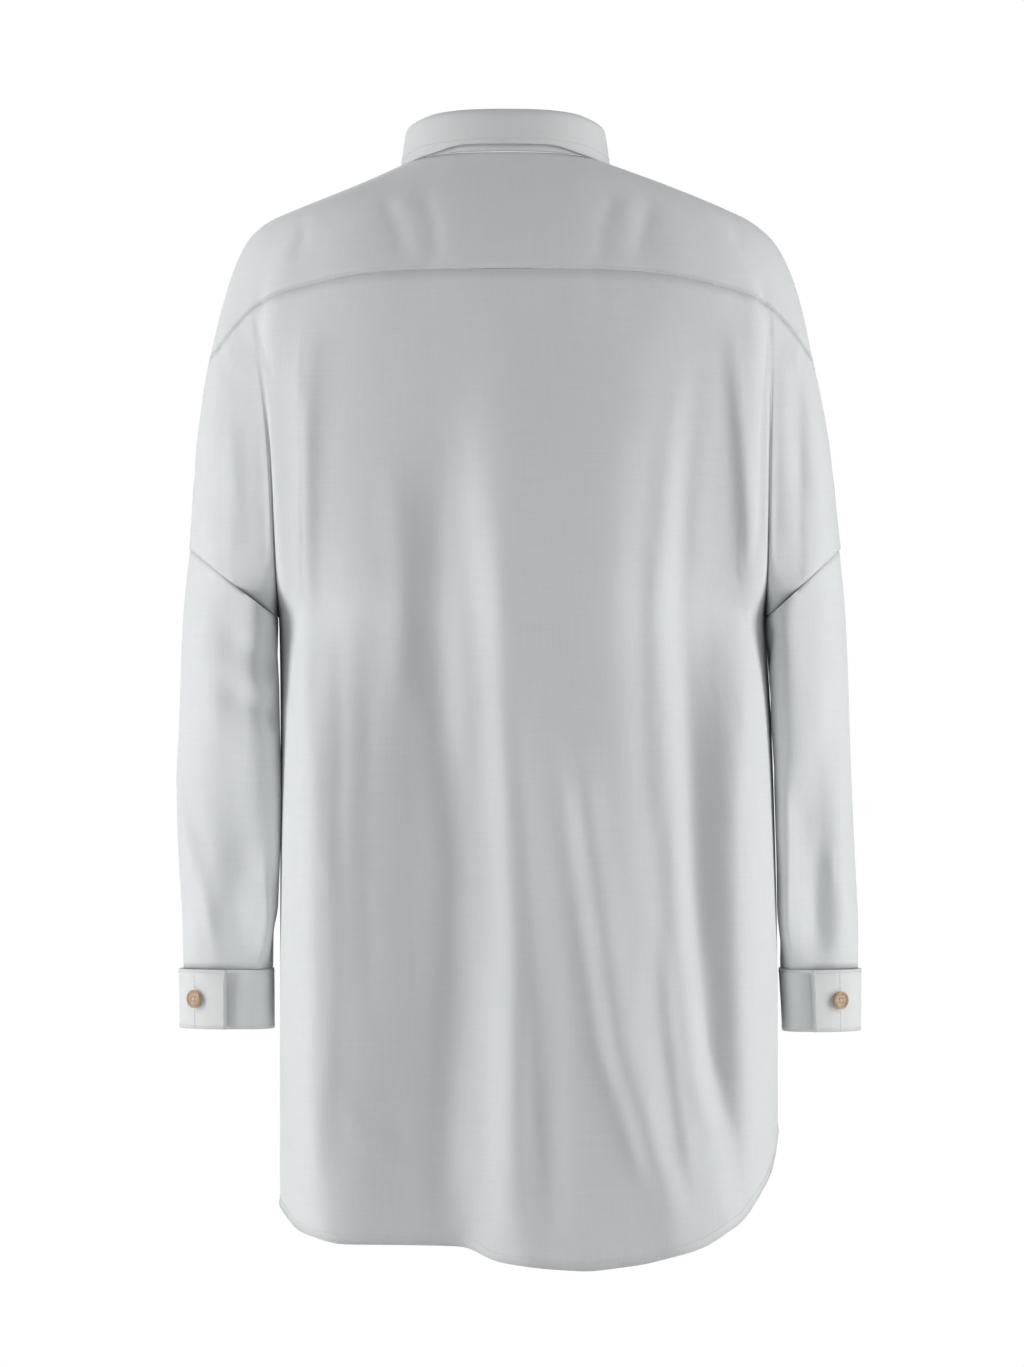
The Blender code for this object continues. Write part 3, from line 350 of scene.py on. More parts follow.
# Sleeve creases are lines of (turn, z): turn 0 is the inner line, 0.25 the back,
# 0.5 the outer side and 0.75 the front.
sleeveCreases = {
    1: (
        (((0.26, -0.350), (0.19, -0.366), (0.12, -0.390)), 0.0075, -0.0034, "ridge"),
        (((0.26, -0.392), (0.19, -0.404), (0.12, -0.424)), 0.0070, -0.0034, "ridge"),
        (((0.28, -0.371), (0.21, -0.386), (0.14, -0.406)), 0.0070, 0.0022, "ridge"),
        (((0.47, -0.424), (0.38, -0.490), (0.31, -0.550), (0.29, -0.600)), 0.010, 0.0034, "ridge"),
        (((0.42, -0.440), (0.34, -0.500), (0.28, -0.560), (0.27, -0.606)), 0.008, -0.0030, "ridge"),
        (((0.36, -0.520), (0.33, -0.570), (0.32, -0.606)), 0.006, -0.0022, "ridge"),
        (((0.20, -0.530), (0.17, -0.560), (0.13, -0.580), (0.10, -0.604)), 0.007, 0.0028, "ridge"),
        (((0.14, -0.520), (0.12, -0.560), (0.05, -0.600)), 0.007, -0.0020, "ridge"),
        (((0.30, -0.320), (0.29, -0.380), (0.25, -0.440)), 0.009, 0.0022, "ridge"),
        (((0.72, -0.330), (0.76, -0.420), (0.72, -0.500), (0.78, -0.590)), 0.010, -0.0030, "ridge"),
        (((0.62, -0.350), (0.60, -0.450), (0.64, -0.560)), 0.009, 0.0024, "ridge"),
        (((0.86, -0.400), (0.80, -0.440), (0.70, -0.460)), 0.008, -0.0028, "ridge"),
        (((0.85, -0.430), (0.78, -0.470), (0.68, -0.486)), 0.008, 0.0022, "ridge"),
    ),
    -1: (
        (((0.30, -0.400), (0.25, -0.450), (0.26, -0.500), (0.24, -0.560), (0.27, -0.604)),
         0.008, -0.0034, "ridge"),
        (((0.38, -0.400), (0.33, -0.460), (0.33, -0.530), (0.32, -0.600)), 0.009, 0.0032, "ridge"),
        (((0.20, -0.440), (0.16, -0.500), (0.19, -0.560), (0.16, -0.604)), 0.008, 0.0030, "ridge"),
        (((0.16, -0.340), (0.10, -0.366), (0.03, -0.384)), 0.008, -0.0026, "ridge"),
        (((0.12, -0.380), (0.07, -0.420), (0.09, -0.470)), 0.008, -0.0022, "ridge"),
        (((0.42, -0.320), (0.40, -0.400), (0.43, -0.480)), 0.009, -0.0022, "ridge"),
        (((0.74, -0.330), (0.70, -0.420), (0.76, -0.500), (0.72, -0.590)), 0.010, -0.0030, "ridge"),
        (((0.62, -0.350), (0.64, -0.450), (0.60, -0.560)), 0.009, 0.0024, "ridge"),
        (((0.88, -0.420), (0.80, -0.450), (0.70, -0.466)), 0.008, -0.0028, "ridge"),
    ),
}


def smoothStep(part):
    part = np.clip(part, 0.0, 1.0)
    return part * part * (3 - 2 * part)


def creaseHeight(creases, across, down):
    total = np.zeros(len(across))
    for points, width, height, kind in creases:
        line = np.array(points, dtype=float)
        steps = np.hypot(*(line[1:] - line[:-1]).T)
        starts = np.concatenate([[0.0], np.cumsum(steps)])
        best = np.full(len(across), 1e9)
        signed = np.zeros(len(across))
        run = np.zeros(len(across))
        for index, length in enumerate(steps):
            here = line[index]
            way = (line[index + 1] - here) / length
            offsetX, offsetZ = across - here[0], down - here[1]
            part = np.clip((offsetX * way[0] + offsetZ * way[1]) / length, 0, 1)
            awayX = offsetX - part * length * way[0]
            awayZ = offsetZ - part * length * way[1]
            far = np.hypot(awayX, awayZ)
            nearer = far < best
            best = np.where(nearer, far, best)
            cross = way[0] * awayZ - way[1] * awayX
            signed = np.where(nearer, np.sign(cross) * far, signed)
            run = np.where(nearer, starts[index] + part * length, run)
        whole = starts[-1]
        fade = smoothStep(run / (0.28 * whole)) * smoothStep((whole - run) / (0.22 * whole))
        scaled = signed / width
        if kind == "ridge":
            shape = np.exp(-scaled ** 2)
        else:
            way = 1.0 if kind == "stepRight" else -1.0
            shape = way * 2.33 * scaled * np.exp(-scaled ** 2) * 0.5
            shape = shape + 0.35 * np.exp(-((way * scaled - 1.1) ** 2))
        total += height * fade * shape
    return total


def clothNoise(points, scale, stretch, seed):
    values = np.empty(len(points))
    for index, (x, y, z) in enumerate(points):
        place = Vector((x * scale + seed, y * scale - seed, z * scale / stretch))
        values[index] = noise.noise(place)
    return values


clothSettings = {
    "backPanel": {"node": "back_panel", "shape": "body", "material": "shirtCloth",
                  "hem": True, "seams": ("top", "armhole")},
    "backYoke": {"node": "yoke", "shape": "body", "material": "shirtCloth",
             "seams": ("top", "armhole"), "stitch": (("top", "armhole"), 0.0022)},
    "frontLeft": {"node": "front_left", "shape": "body", "material": "shirtCloth",
                  "hem": True, "seams": ("top", "armhole")},
    "frontRight": {"node": "front_right", "shape": "body", "material": "shirtCloth",
                   "hem": True, "seams": ("top", "armhole")},
    "frontBand": {"node": "placket", "shape": "body", "material": "bandCloth",
                "stitch": (("edge",), 0.0042)},
    "sleeveLeft": {"node": "sleeve_left", "shape": "sleeve", "material": "shirtCloth",
                   "seams": ("armhole", "cuff")},
    "sleeveRight": {"node": "sleeve_right", "shape": "sleeve", "material": "shirtCloth",
                    "seams": ("armhole", "cuff")},
    "cuffLeft": {"node": "cuff_left", "shape": "cuff", "material": "bandCloth",
                 "stitch": (("edge",), 0.0024)},
    "cuffRight": {"node": "cuff_right", "shape": "cuff", "material": "bandCloth",
                  "stitch": (("edge",), 0.0024)},
    "collarStand": {"node": "collar_stand", "shape": "collar", "material": "bandCloth",
                    "stitch": (("low",), 0.0016)},
    "collarLeaf": {"node": "collar_leaf", "shape": "collar", "material": "bandCloth",
                   "stitch": (("leaf",), 0.0048)},
}
seamSettings = {"dip": 0.00025, "width": 0.0020, "pucker": 0.0004, "puckerWidth": 0.011,
                "closes": 0.00013, "closeReach": 0.0014}
hemSettings = {"depth": 0.0070, "rise": 0.0005, "dip": 0.0004, "width": 0.0022,
               "pucker": 0.0005, "puckerWidth": 0.014, "stitchAt": 0.0062}
rimAngle = math.radians(55)


def nodeCopy(node, name):
    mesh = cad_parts[node].data.copy()
    piece = bpy.data.objects.new(name, mesh)
    bpy.context.scene.collection.objects.link(piece)
    mesh.materials.clear()
    selectOnly(piece)
    bpy.ops.object.mode_set(mode="EDIT")
    bpy.ops.mesh.select_all(action="SELECT")
    bpy.ops.mesh.remove_doubles(threshold=0.00001)
    bpy.ops.mesh.tris_convert_to_quads(face_threshold=math.radians(50),
                                       shape_threshold=math.radians(75))
    bpy.ops.object.mode_set(mode="OBJECT")
    return piece


def creaseRims(piece):
    mesh = bmesh.new()
    mesh.from_mesh(piece.data)
    layer = mesh.edges.layers.float.get("crease_edge")
    if layer is None:
        layer = mesh.edges.layers.float.new("crease_edge")
    for edge in mesh.edges:
        if len(edge.link_faces) == 2 and edge.calc_face_angle(0) > rimAngle:
            edge[layer] = 1.0
    mesh.to_mesh(piece.data)
    mesh.free()


def rimKind(shape, middle, along):
    x, y, z = middle
    if shape == "body":
        if z < -0.60:
            return "hem" if abs(y - sideDepth) > 0.003 else "side"
        if z > -0.020 and abs(x) < 0.085:
            return "neck"
        if abs(x) > 0.162 and z < -0.235:
            return "armhole" if abs(along.z) < 0.93 else "side"
        if abs(x) < 0.020:
            return "centre"
        return "top" if z > -0.30 else "side"
    if shape == "sleeve":
        return "armhole" if z > -0.45 else "cuff"
    return "edge"


def freeEdges(piece, settings):
    # The outer edge of every free border: its ends, the way in over the cloth, its kind.
    shape = settings["shape"]
    found = []
    mesh = bmesh.new()
    mesh.from_mesh(piece.data)
    mesh.normal_update()
    side = 1 if sum(v.co.x for v in mesh.verts) > 0 else -1
    low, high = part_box(settings["node"])
    for edge in mesh.edges:
        if len(edge.link_faces) != 2 or edge.calc_face_angle(0) < rimAngle:
            continue
        first, second = (v.co for v in edge.verts)
        middle = (first + second) / 2
        axis = pieceAxis(shape, side, middle)
        for skin, rim in (edge.link_faces, reversed(edge.link_faces)):
            reach = rim.calc_area() / max(edge.calc_length(), 1e-6)
            if reach > 0.0030 or skin.normal.dot(middle - axis) <= 0:
                continue
            if skin.calc_area() / edge.calc_length() < 0.0020:
                continue
            run = (second - first).normalized()
            inward = skin.calc_center_median() - middle
            inward = (inward - run * inward.dot(run)).normalized()
            kind = rimKind(shape, middle, run)
            if settings["node"] == "collar_stand":
                kind = "low" if middle.z < low[2] + 0.6 * (high[2] - low[2]) else "high"
            if settings["node"] == "collar_leaf":
                kind = "fold" if skin.normal.z > 0.55 else "leaf"
            if settings["node"] == "placket":
                kind = "edge"
            found.append((first.copy(), second.copy(), inward, kind))
            break
    mesh.free()
    return found


def pieceAxis(shape, side, point):
    if shape in ("sleeve", "cuff"):
        centre = armAxis(side, np.array([point[2]]))[0]
        return Vector((centre[0], centre[1], point[2]))
    if shape == "collar":
        return Vector((0, -0.004, point[2] - 0.01))
    return Vector((0, sideDepth, min(point[2], 0.0) - 0.02))


def edgeTree(edges, kinds):
    # A search tree of marks along the free edges of some kinds, with each mark's way out.
    marks, ways = [], []
    for first, second, inward, kind in edges:
        if kind in kinds:
            marks += [first.lerp(second, part) for part in (0, 0.25, 0.5, 0.75)]
            ways += [-inward] * 4
    if not marks:
        return None, ways
    tree = kdtree.KDTree(len(marks))
    for index, mark in enumerate(marks):
        tree.insert(mark, index)
    tree.balance()
    return tree, ways


def seamRelief(points, edges, settings):
    # Height of seams and hem over the points, by distance to the free edges.
    height = np.zeros(len(points))
    groups = [("seam", settings.get("seams", ()))]
    if settings.get("hem"):
        groups.append(("hem", ("hem",)))
    for way, kinds in groups:
        tree, _ = edgeTree(edges, kinds)
        if tree is None:
            continue
        far = np.array([tree.find(point)[2] for point in points])
        near = far < 0.05
        wave = np.zeros(len(points))
        wave[near] = clothNoise(points[near], 95.0, 1.0, 3.0)
        if way == "seam":
            height -= seamSettings["dip"] * np.exp(-(far / seamSettings["width"]) ** 2)
            height += seamSettings["pucker"] * wave * np.exp(-(far / seamSettings["puckerWidth"]) ** 2)
        else:
            height += hemSettings["rise"] * smoothStep((hemSettings["depth"] - far) / 0.0016)
            line = (far - hemSettings["depth"]) / hemSettings["width"]
            height -= hemSettings["dip"] * np.exp(-line ** 2)
            height += hemSettings["pucker"] * wave * np.exp(-(far / hemSettings["puckerWidth"]) ** 2)
    return height


def closeSeams(points, edges, settings):
    # The cloth along a sewn edge is drawn towards the piece it is sewn to.
    tree, ways = edgeTree(edges, settings.get("seams", ()))
    if tree is None:
        return points
    moved = points.copy()
    for index, point in enumerate(points):
        _, nearest, far = tree.find(point)
        if far < seamSettings["closeReach"]:
            moved[index] += np.array(ways[nearest][:]) * seamSettings["closes"]
    return moved


def outwardWays(points, shape, side):
    # Unit vectors out of the shirt, for moving both faces of the cloth alike.
    if shape in ("sleeve", "cuff"):
        centre = armAxis(side, points[:, 2])
        ways = points - centre
        ways[:, 2] = 0
    else:
        ways = points - np.array([0.0, sideDepth, 0.0])
        ways[:, 2] = np.where(points[:, 2] > -0.10, 0.045 + 0.5 * (points[:, 2] + 0.10), 0)
        ways[:, 0] *= 0.45
    return ways / np.maximum(np.linalg.norm(ways, axis=1), 1e-6)[:, None]


stitchSettings = {"pitch": 0.0032, "length": 0.0021, "radius": 0.00026, "sink": 0.35}


def stitchRows(name, piece, edges, rows):
    # Small rounded stitches along the free edges of some kinds, laid on the piece.
    mesh = bmesh.new()
    mesh.from_mesh(piece.data)
    tree = BVHTree.FromBMesh(mesh)
    mesh.free()
    side = 1 if piece.data.vertices[0].co.x > 0 else -1
    shape = clothSettings[name]["shape"]
    places = []
    for kinds, offset in rows:
        for first, second, inward, kind in edges:
            if kind not in kinds:
                continue
            length = (second - first).length
            count = max(1, round(length / stitchSettings["pitch"]))
            for index in range(count):
                at = first.lerp(second, (index + 0.5) / count) + inward * offset
                out = Vector(outwardWays(np.array([at]), shape, side)[0])
                ground, normal, _, _ = tree.ray_cast(at + out * 0.010, -out, 0.022)
                if ground is not None and normal.dot(out) > 0.05:
                    places.append((ground, normal, (second - first).normalized()))
    if not places:
        return None
    bpy.ops.object.select_all(action="DESELECT")
    bpy.ops.mesh.primitive_uv_sphere_add(segments=6, ring_count=4, radius=1.0)
    template = bpy.context.object
    shape = np.array([v.co[:] for v in template.data.vertices])
    faces = [tuple(polygon.vertices) for polygon in template.data.polygons]
    bpy.data.objects.remove(template)
    verts, polygons = [], []
    for ground, normal, run in places:
        along = (run - normal * run.dot(normal)).normalized()
        across = normal.cross(along)
        turn = np.array([across[:], normal[:], along[:]])
        size = (stitchSettings["radius"] * 1.25, stitchSettings["radius"],
                stitchSettings["length"] / 2)
        middle = ground + normal * stitchSettings["radius"] * (1 - stitchSettings["sink"])
        start = len(verts)
        verts += [tuple(corner) for corner in (shape * size) @ turn + np.array(middle[:])]
        polygons += [tuple(start + index for index in face) for face in faces]
    data = bpy.data.meshes.new(name + "Stitches")
    data.from_pydata(verts, [], polygons)
    data.shade_smooth()
    stitches = bpy.data.objects.new(name + "Stitches", data)
    bpy.context.scene.collection.objects.link(stitches)
    return stitches


def subdivide(piece, levels):
    modifier = piece.modifiers.new("finer", "SUBSURF")
    modifier.levels = levels
    modifier.render_levels = levels
    modifier.boundary_smooth = "PRESERVE_CORNERS"
    selectOnly(piece)
    bpy.ops.object.modifier_apply(modifier="finer")


def meshPoints(piece):
    points = np.empty(len(piece.data.vertices) * 3)
    piece.data.vertices.foreach_get("co", points)
    return points.reshape(-1, 3)


def setPoints(piece, points):
    piece.data.vertices.foreach_set("co", np.ascontiguousarray(points).ravel())
    piece.data.update()


def armAxis(side, z):
    sleeve = "sleeve_left" if side > 0 else "sleeve_right"
    cuff = "cuff_left" if side > 0 else "cuff_right"
    low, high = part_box(sleeve)
    cuffLow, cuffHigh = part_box(cuff)
    top = np.array([(low[0] + high[0]) / 2, sideDepth, -0.34])
    wrist = np.array([(cuffLow[0] + cuffHigh[0]) / 2, (cuffLow[1] + cuffHigh[1]) / 2,
                      (cuffLow[2] + cuffHigh[2]) / 2])
    part = np.clip((z - top[2]) / (wrist[2] - top[2]), 0, 1)[:, None]
    bend = part ** 1.6
    centre = top * (1 - part) + wrist * part
    centre[:, 1] = (top[1] * (1 - bend) + wrist[1] * bend)[:, 0]
    return centre


# The back runs down to the arm in one slope. Anchors are |x| on the body and on the arm, and
# top and bottom are where the fill starts or ends and the length over which it comes in.
grooveFill = {"anchors": {1: (0.152, 0.208), -1: (0.172, 0.217)}, "rows": (-0.08, -0.42),
              "most": 0.030, "share": 1.0, "top": (-0.105, 0.045), "bottom": (-0.370, 0.080),
              "behind": (0.010, 0.022)}


def bridgeRows():
    # For each side, the depth of the back at both anchors, row by row.
    verts, faces = [], []
    for node in ("back_panel", "yoke", "sleeve_left", "sleeve_right"):
        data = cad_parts[node].data
        start = len(verts)
        verts += [v.co[:] for v in data.vertices]
        faces += [[start + index for index in polygon.vertices] for polygon in data.polygons]
    tree = BVHTree.FromPolygons(verts, faces)
    heights = np.linspace(grooveFill["rows"][1], grooveFill["rows"][0], 60)
    rows = {}
    for side, anchors in grooveFill["anchors"].items():
        found = []
        for away in anchors:
            depths = []
            for z in heights:
                hit = tree.ray_cast(Vector((side * away, 0.4, z)), Vector((0, -1, 0)))[0]
                depths.append(hit.y if hit is not None else (depths[-1] if depths else 0.05))
            found.append(np.array(depths))
        rows[side] = found
    return heights, rows


def fillGroove(points, middles):
    heights, rows = backBridge
    moved = points.copy()
    for side, (inner, outer) in grooveFill["anchors"].items():
        away = middles[:, 0] * side
        part = (away - inner) / (outer - inner)
        innerDepth, outerDepth = (np.interp(middles[:, 2], heights, row) for row in rows[side])
        gap = innerDepth * (1 - part) + outerDepth * part - 0.0006 - middles[:, 1]
        gap = np.where((part > 0) & (part < 1), np.maximum(gap, 0), 0)
        most = grooveFill["most"]
        rise = most * np.tanh(gap * grooveFill["share"] / most)
        rise *= smoothStep((middles[:, 1] - grooveFill["behind"][0]) / grooveFill["behind"][1])
        rise *= smoothStep((grooveFill["top"][0] - middles[:, 2]) / grooveFill["top"][1])
        rise *= smoothStep((middles[:, 2] - grooveFill["bottom"][0]) / grooveFill["bottom"][1])
        moved[:, 1] += rise
    return moved


def clothMiddles(piece, points):
    # The same point for both faces of the cloth, so both are moved alike.
    normals = np.empty(len(piece.data.vertices) * 3)
    piece.data.vertices.foreach_get("normal", normals)
    return points - 0.0006 * normals.reshape(-1, 3)


# Slow unevenness of the cloth: height, noise scale, how far it is stretched down, seed.
bodyDrift = ((0.0011, 13.0, 3.5, 4.0), (0.0004, 42.0, 2.2, 9.0))
sleeveDrift = (0.0008, 15.0, 2.4, 2.0)
sleeveRound = 0.235      # turns of the sleeve's creases become metres round it with this
holdDepth = 0.045        # creases fade this near to the side seams


def bodyFolds(points):
    behind = points[:, 1] > sideDepth
    depth = np.abs(points[:, 1] - sideDepth)
    hold = smoothStep(depth / holdDepth)
    back = creaseHeight(backCreases, points[:, 0], points[:, 2])
    front = creaseHeight(frontCreases, points[:, 0], points[:, 2])
    drift = sum(rise * clothNoise(points, scale, stretch, seed)
                for rise, scale, stretch, seed in bodyDrift)
    height = np.where(behind, back, front) + drift
    moved = points.copy()
    moved[:, 1] += np.where(behind, 1.0, -1.0) * height * hold
    return moved


# The back of each sleeve runs on flat towards the body instead of turning away round it. It
# leans highest at leanAt of its half width, and the corner at cornerTurn moves towards the body.
# A pair is where an effect starts and the length over which it comes in.
sleeveFill = {"halfWidth": 0.040, "squareness": 3.4, "depth": 0.034, "lean": 0.0060,
              "leanAt": 0.62, "leanWidth": 0.34, "top": (-0.285, 0.07), "cuffFade": 0.05,
              "behindOver": 0.016, "cornerTurn": 0.12, "cornerWidth": 0.07,
              "cornerTop": (-0.330, 0.09), "towardsBody": {1: 0.0085, -1: 0.0050}}


def sleeveFolds(points, side):
    centre = armAxis(side, points[:, 2])
    outX = (points[:, 0] - centre[:, 0]) * side
    outY = points[:, 1] - centre[:, 1]
    radius = np.hypot(outX, outY)
    turn = (np.arctan2(outY, -outX) / math.tau) % 1.0
    roundLength = sleeveRound
    creases = [(tuple((t * roundLength, z) for t, z in line), width, height, kind)
               for line, width, height, kind in sleeveCreases[side]]
    height = creaseHeight(creases, turn * roundLength, points[:, 2])
    seamFade = smoothStep((-0.300 - points[:, 2]) / 0.05)
    rise, scale, stretch, seed = sleeveDrift
    height = height * seamFade + rise * clothNoise(points, scale, stretch, seed + side)
    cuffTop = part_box("cuff_left" if side > 0 else "cuff_right")[1][2]
    height *= smoothStep((points[:, 2] - cuffTop) / 0.012)
    moved = points.copy()
    reachIn = np.clip(-outX / sleeveFill["halfWidth"], 0, 0.98)
    oval = np.sqrt(1 - reachIn ** 2)
    square = (1 - reachIn ** sleeveFill["squareness"]) ** (1 / sleeveFill["squareness"])
    lean = np.exp(-((reachIn - sleeveFill["leanAt"]) / sleeveFill["leanWidth"]) ** 2)
    fill = sleeveFill["depth"] * (square - oval) + sleeveFill["lean"] * lean
    start, over = sleeveFill["top"]
    aboveCuff = smoothStep((points[:, 2] - cuffTop) / sleeveFill["cuffFade"])
    behind = smoothStep(outY / sleeveFill["behindOver"]) * smoothStep((start - points[:, 2]) / over)
    behind *= aboveCuff
    moved[:, 1] += fill * behind
    start, over = sleeveFill["cornerTop"]
    corner = np.exp(-((turn - sleeveFill["cornerTurn"]) / sleeveFill["cornerWidth"]) ** 2)
    corner = corner * smoothStep((start - points[:, 2]) / over) * aboveCuff
    moved[:, 0] -= side * sleeveFill["towardsBody"][side] * corner
    moved[:, 0] += side * height * outX / np.maximum(radius, 1e-6)
    moved[:, 1] += height * outY / np.maximum(radius, 1e-6)
    return moved


def bandUnevenness(points, amount):
    middle = points.mean(axis=0)
    out = points[:, :2] - middle[:2]
    out /= np.maximum(np.hypot(out[:, 0], out[:, 1]), 1e-6)[:, None]
    wave = amount * clothNoise(points, 26.0, 1.0, 7.0)
    moved = points.copy()
    moved[:, :2] += out * wave[:, None]
    return moved


leafSettings = {"inward": 0.0022, "drop": 0.0075, "dropFrom": 0.030, "dropOver": 0.030,
                "height": 0.036, "behindFrom": -0.040, "behindOver": 0.050, "axisDepth": -0.004}


def settleLeaf(points):
    # The lower edge of the folded collar lies close to the stand and down on the shoulders.
    high = points[:, 2].max()
    lower = np.clip((high - points[:, 2]) / leafSettings["height"], 0, 1) ** 2
    sides = smoothStep((np.abs(points[:, 0]) - leafSettings["dropFrom"]) / leafSettings["dropOver"])
    behind = smoothStep((points[:, 1] - leafSettings["behindFrom"]) / leafSettings["behindOver"])
    out = points[:, :2] - np.array([0.0, leafSettings["axisDepth"]])
    out /= np.maximum(np.hypot(out[:, 0], out[:, 1]), 1e-6)[:, None]
    moved = points.copy()
    moved[:, :2] -= out * (leafSettings["inward"] * lower * behind)[:, None]
    moved[:, 2] -= leafSettings["drop"] * lower * sides * behind
    return moved


def addClothMap(piece, shape):
    points = meshPoints(piece)
    if shape in ("sleeve", "cuff"):
        side = 1 if points[:, 0].mean() > 0 else -1
        centre = armAxis(side, points[:, 2])
        radius = 0.040
    else:
        centre = np.zeros_like(points)
        centre[:, 1] = sideDepth
        radius = 0.155 if shape == "body" else 0.070
    angle = np.arctan2(points[:, 0] - centre[:, 0], points[:, 1] - centre[:, 1])
    layer = piece.data.uv_layers.new(name="cloth")
    corners = np.empty(len(piece.data.loops), dtype=int)
    piece.data.loops.foreach_get("vertex_index", corners)
    cornerAngle = angle[corners]
    for polygon in piece.data.polygons:
        first, count = polygon.loop_start, polygon.loop_total
        part = cornerAngle[first:first + count]
        if part.max() - part.min() > math.pi:
            part[part < 0] += math.tau
    flat = np.stack([cornerAngle * radius, points[corners, 2]], axis=1)
    layer.data.foreach_set("uv", flat.ravel())


def makeClothPiece(name, materials):
    settings = clothSettings[name]
    piece = nodeCopy(settings["node"], name)
    edges = freeEdges(piece, settings)
    creaseRims(piece)
    subdivide(piece, 2)
    points = meshPoints(piece)
    side = 1 if points[:, 0].mean() > 0 else -1
    relief = seamRelief(points, edges, settings)
    middles = clothMiddles(piece, points)
    points = closeSeams(points, edges, settings)
    points += outwardWays(points, settings["shape"], side) * relief[:, None]
    if name in ("backPanel", "backYoke", "sleeveLeft", "sleeveRight"):
        points = fillGroove(points, middles)
    if settings["shape"] == "body":
        points = bodyFolds(points)
    elif settings["shape"] == "sleeve":
        points = sleeveFolds(points, side)
    elif settings["shape"] == "cuff":
        points = bandUnevenness(points, 0.0005)
    else:
        points = bandUnevenness(points, 0.0004)
    if name == "collarLeaf":
        points = settleLeaf(points)
    setPoints(piece, points)
    addClothMap(piece, settings["shape"])
    piece.data.materials.append(materials[settings["material"]])
    selectOnly(piece)
    bpy.ops.object.shade_smooth_by_angle(angle=math.radians(50))
    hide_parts(settings["node"])
    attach(piece, "root")
    rows = [settings["stitch"]] if "stitch" in settings else []
    if settings.get("hem"):
        rows.append((("hem",), hemSettings["stitchAt"]))
    stitches = stitchRows(name, piece, edges, rows) if rows else None
    if stitches:
        stitches.data.materials.append(materials["thread"])
        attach(stitches, "root")
    print("cloth", name, len(piece.data.polygons),
          len(stitches.data.polygons) if stitches else 0)
    return piece


buttonSettings = {"sides": 36, "rim": 0.20, "dish": 0.30, "holeFrom": 0.235, "holeRadius": 0.105,
                  "threadRadius": 0.055, "bevel": 0.10}


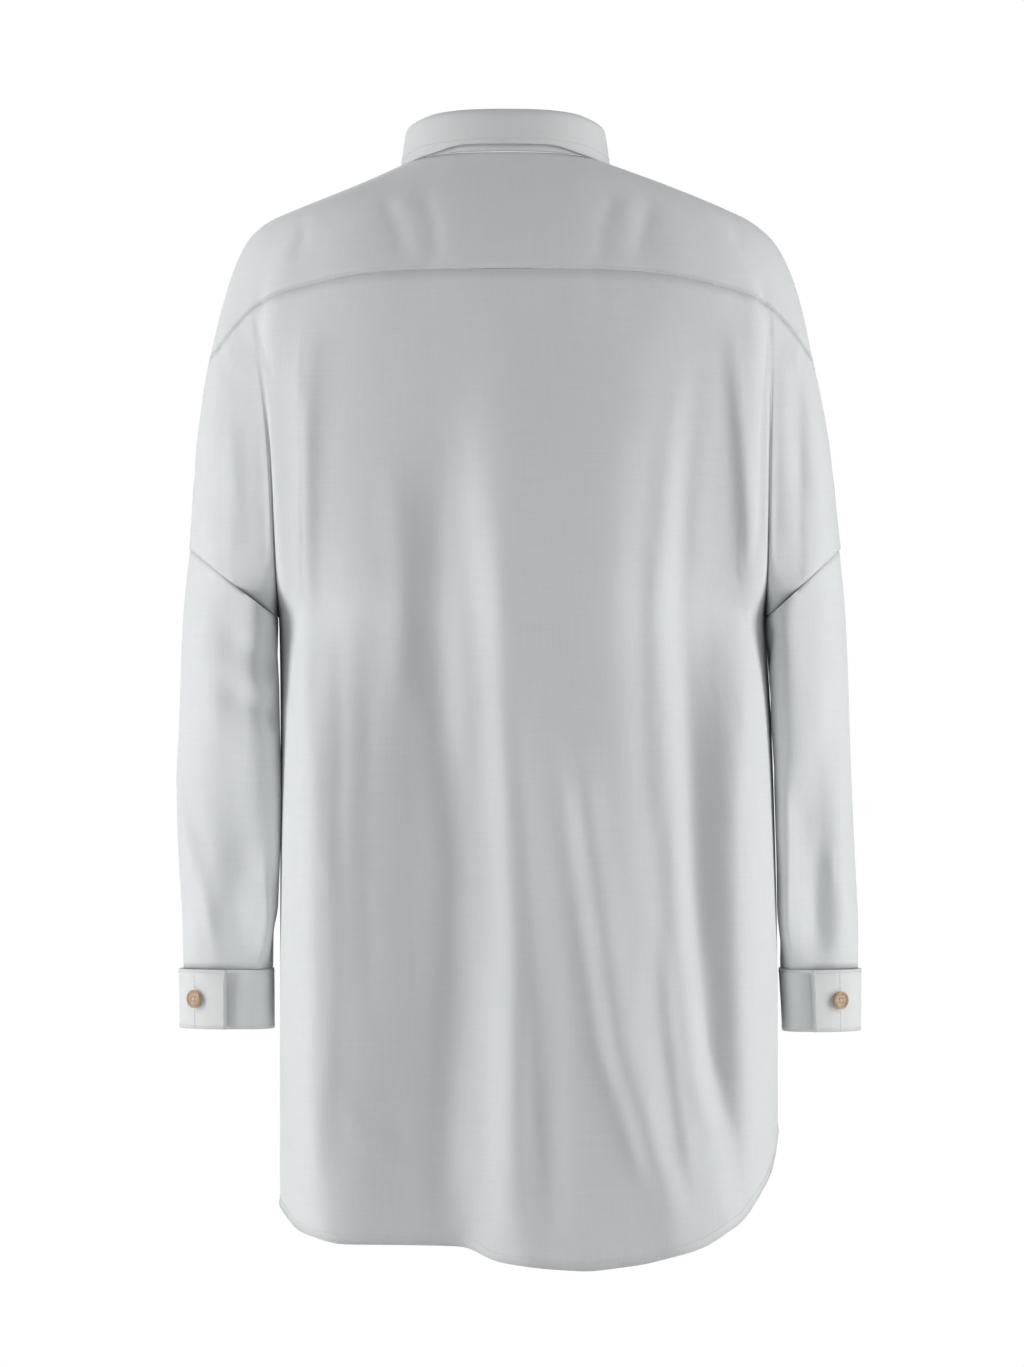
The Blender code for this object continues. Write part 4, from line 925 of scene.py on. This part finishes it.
def makeButtonTemplate():
    # One button of radius 1 and thickness 1 (from -0.5 to 0.5) and its crossed threads.
    settings = buttonSettings
    bpy.ops.object.select_all(action="DESELECT")
    bpy.ops.mesh.primitive_cylinder_add(vertices=settings["sides"], radius=1, depth=1)
    button = bpy.context.object
    button.name = "buttonTemplate"
    mesh = bmesh.new()
    mesh.from_mesh(button.data)
    for face in mesh.faces:
        face.select_set(face.normal.z > 0.9)
    mesh.select_flush_mode()
    mesh.to_mesh(button.data)
    mesh.free()
    bpy.ops.object.mode_set(mode="EDIT")
    bpy.ops.mesh.select_mode(type="FACE")
    bpy.ops.mesh.inset(thickness=settings["rim"], depth=0.0)
    bpy.ops.mesh.inset(thickness=0.10, depth=-settings["dish"])
    bpy.ops.object.mode_set(mode="OBJECT")
    edges = button.modifiers.new("soften", "BEVEL")
    edges.width = settings["bevel"]
    edges.segments = 3
    edges.limit_method = "ANGLE"
    edges.angle_limit = math.radians(60)
    bpy.ops.object.modifier_apply(modifier="soften")
    holes = []
    for turn in range(4):
        angle = math.pi / 4 + turn * math.pi / 2
        place = (settings["holeFrom"] * math.cos(angle) * 1.2,
                 settings["holeFrom"] * math.sin(angle) * 1.2, 0)
        bpy.ops.object.select_all(action="DESELECT")
        bpy.ops.mesh.primitive_cylinder_add(vertices=14, radius=settings["holeRadius"], depth=3,
                                            location=place)
        holes.append(bpy.context.object)
    for hole in holes:
        cut = button.modifiers.new("hole", "BOOLEAN")
        cut.operation = "DIFFERENCE"
        cut.solver = "EXACT"
        cut.object = hole
        selectOnly(button)
        bpy.ops.object.modifier_apply(modifier="hole")
        bpy.data.objects.remove(hole)
    strands = []
    for turn in (0, 1):
        bpy.ops.object.select_all(action="DESELECT")
        bpy.ops.mesh.primitive_uv_sphere_add(segments=10, ring_count=8, radius=1)
        strand = bpy.context.object
        strand.scale = (settings["holeFrom"] * 1.2 + 0.07, settings["threadRadius"], 0.16)
        strand.rotation_euler = (0, 0, math.pi / 4 + turn * math.pi / 2)
        strand.location = (0, 0, 0.5 - settings["dish"] + 0.03 + 0.03 * turn)
        bpy.ops.object.transform_apply(location=True, rotation=True, scale=True)
        strands.append(strand)
    bpy.ops.object.select_all(action="DESELECT")
    for strand in strands:
        strand.select_set(True)
    bpy.context.view_layer.objects.active = strands[0]
    bpy.ops.object.join()
    thread = bpy.context.object
    thread.name = "threadTemplate"
    for part in (button, thread):
        selectOnly(part)
        bpy.ops.object.shade_smooth_by_angle(angle=math.radians(35))
    return button, thread


def placeButton(node, template, thread):
    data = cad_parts[node].data
    points = np.array([v.co[:] for v in data.vertices])
    middle = points.mean(axis=0)
    _, _, ways = np.linalg.svd(points - middle, full_matrices=False)
    out = Vector(ways[2])
    centre = pieceAxis("cuff" if "cuff" in node else "body", 1 if middle[0] > 0 else -1,
                       Vector(middle))
    if out.dot(Vector(middle) - centre) < 0:
        out = -out
    flat = np.array(out[:])
    along = (points - middle) @ flat
    thickness = along.max() - along.min()
    radius = np.linalg.norm((points - middle) - along[:, None] * flat, axis=1).max()
    upright = (Vector((0, 0, 1)) - out * out.z).normalized()
    side = upright.cross(out)
    turn = Matrix((side * radius, upright * radius, out * thickness)).transposed().to_4x4()
    turn.translation = Vector(middle)
    for source, ending in ((template, ""), (thread, "Thread")):
        piece = source.copy()
        piece.data = source.data.copy()
        piece.name = node.replace("button_", "button").replace("_", "") + ending
        bpy.context.scene.collection.objects.link(piece)
        piece.data.transform(turn)
        piece.data.materials.clear()
        piece.data.materials.append(materials["thread" if ending else "buttonWood"])
        if not ending:
            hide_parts(node)
        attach(piece, "root")


addCamera()
addWorld()
addLights()
addFloor()
weave = makeWeaveGroup()
materials = {name: makeClothMaterial(name, weave) for name in clothMaterialSettings}
materials["buttonWood"] = makeButtonMaterial()
materials["thread"] = plainMaterial("thread", (0.78, 0.79, 0.78, 1), 0.6)
backBridge = bridgeRows()
cloth = {name: makeClothPiece(name, materials) for name in clothSettings}

buttons = [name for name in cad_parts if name.startswith("button")]
template, thread = makeButtonTemplate()
for node in buttons:
    placeButton(node, template, thread)
for part in (template, thread):
    bpy.data.objects.remove(part)
print("buttons", len(buttons))

print("done")
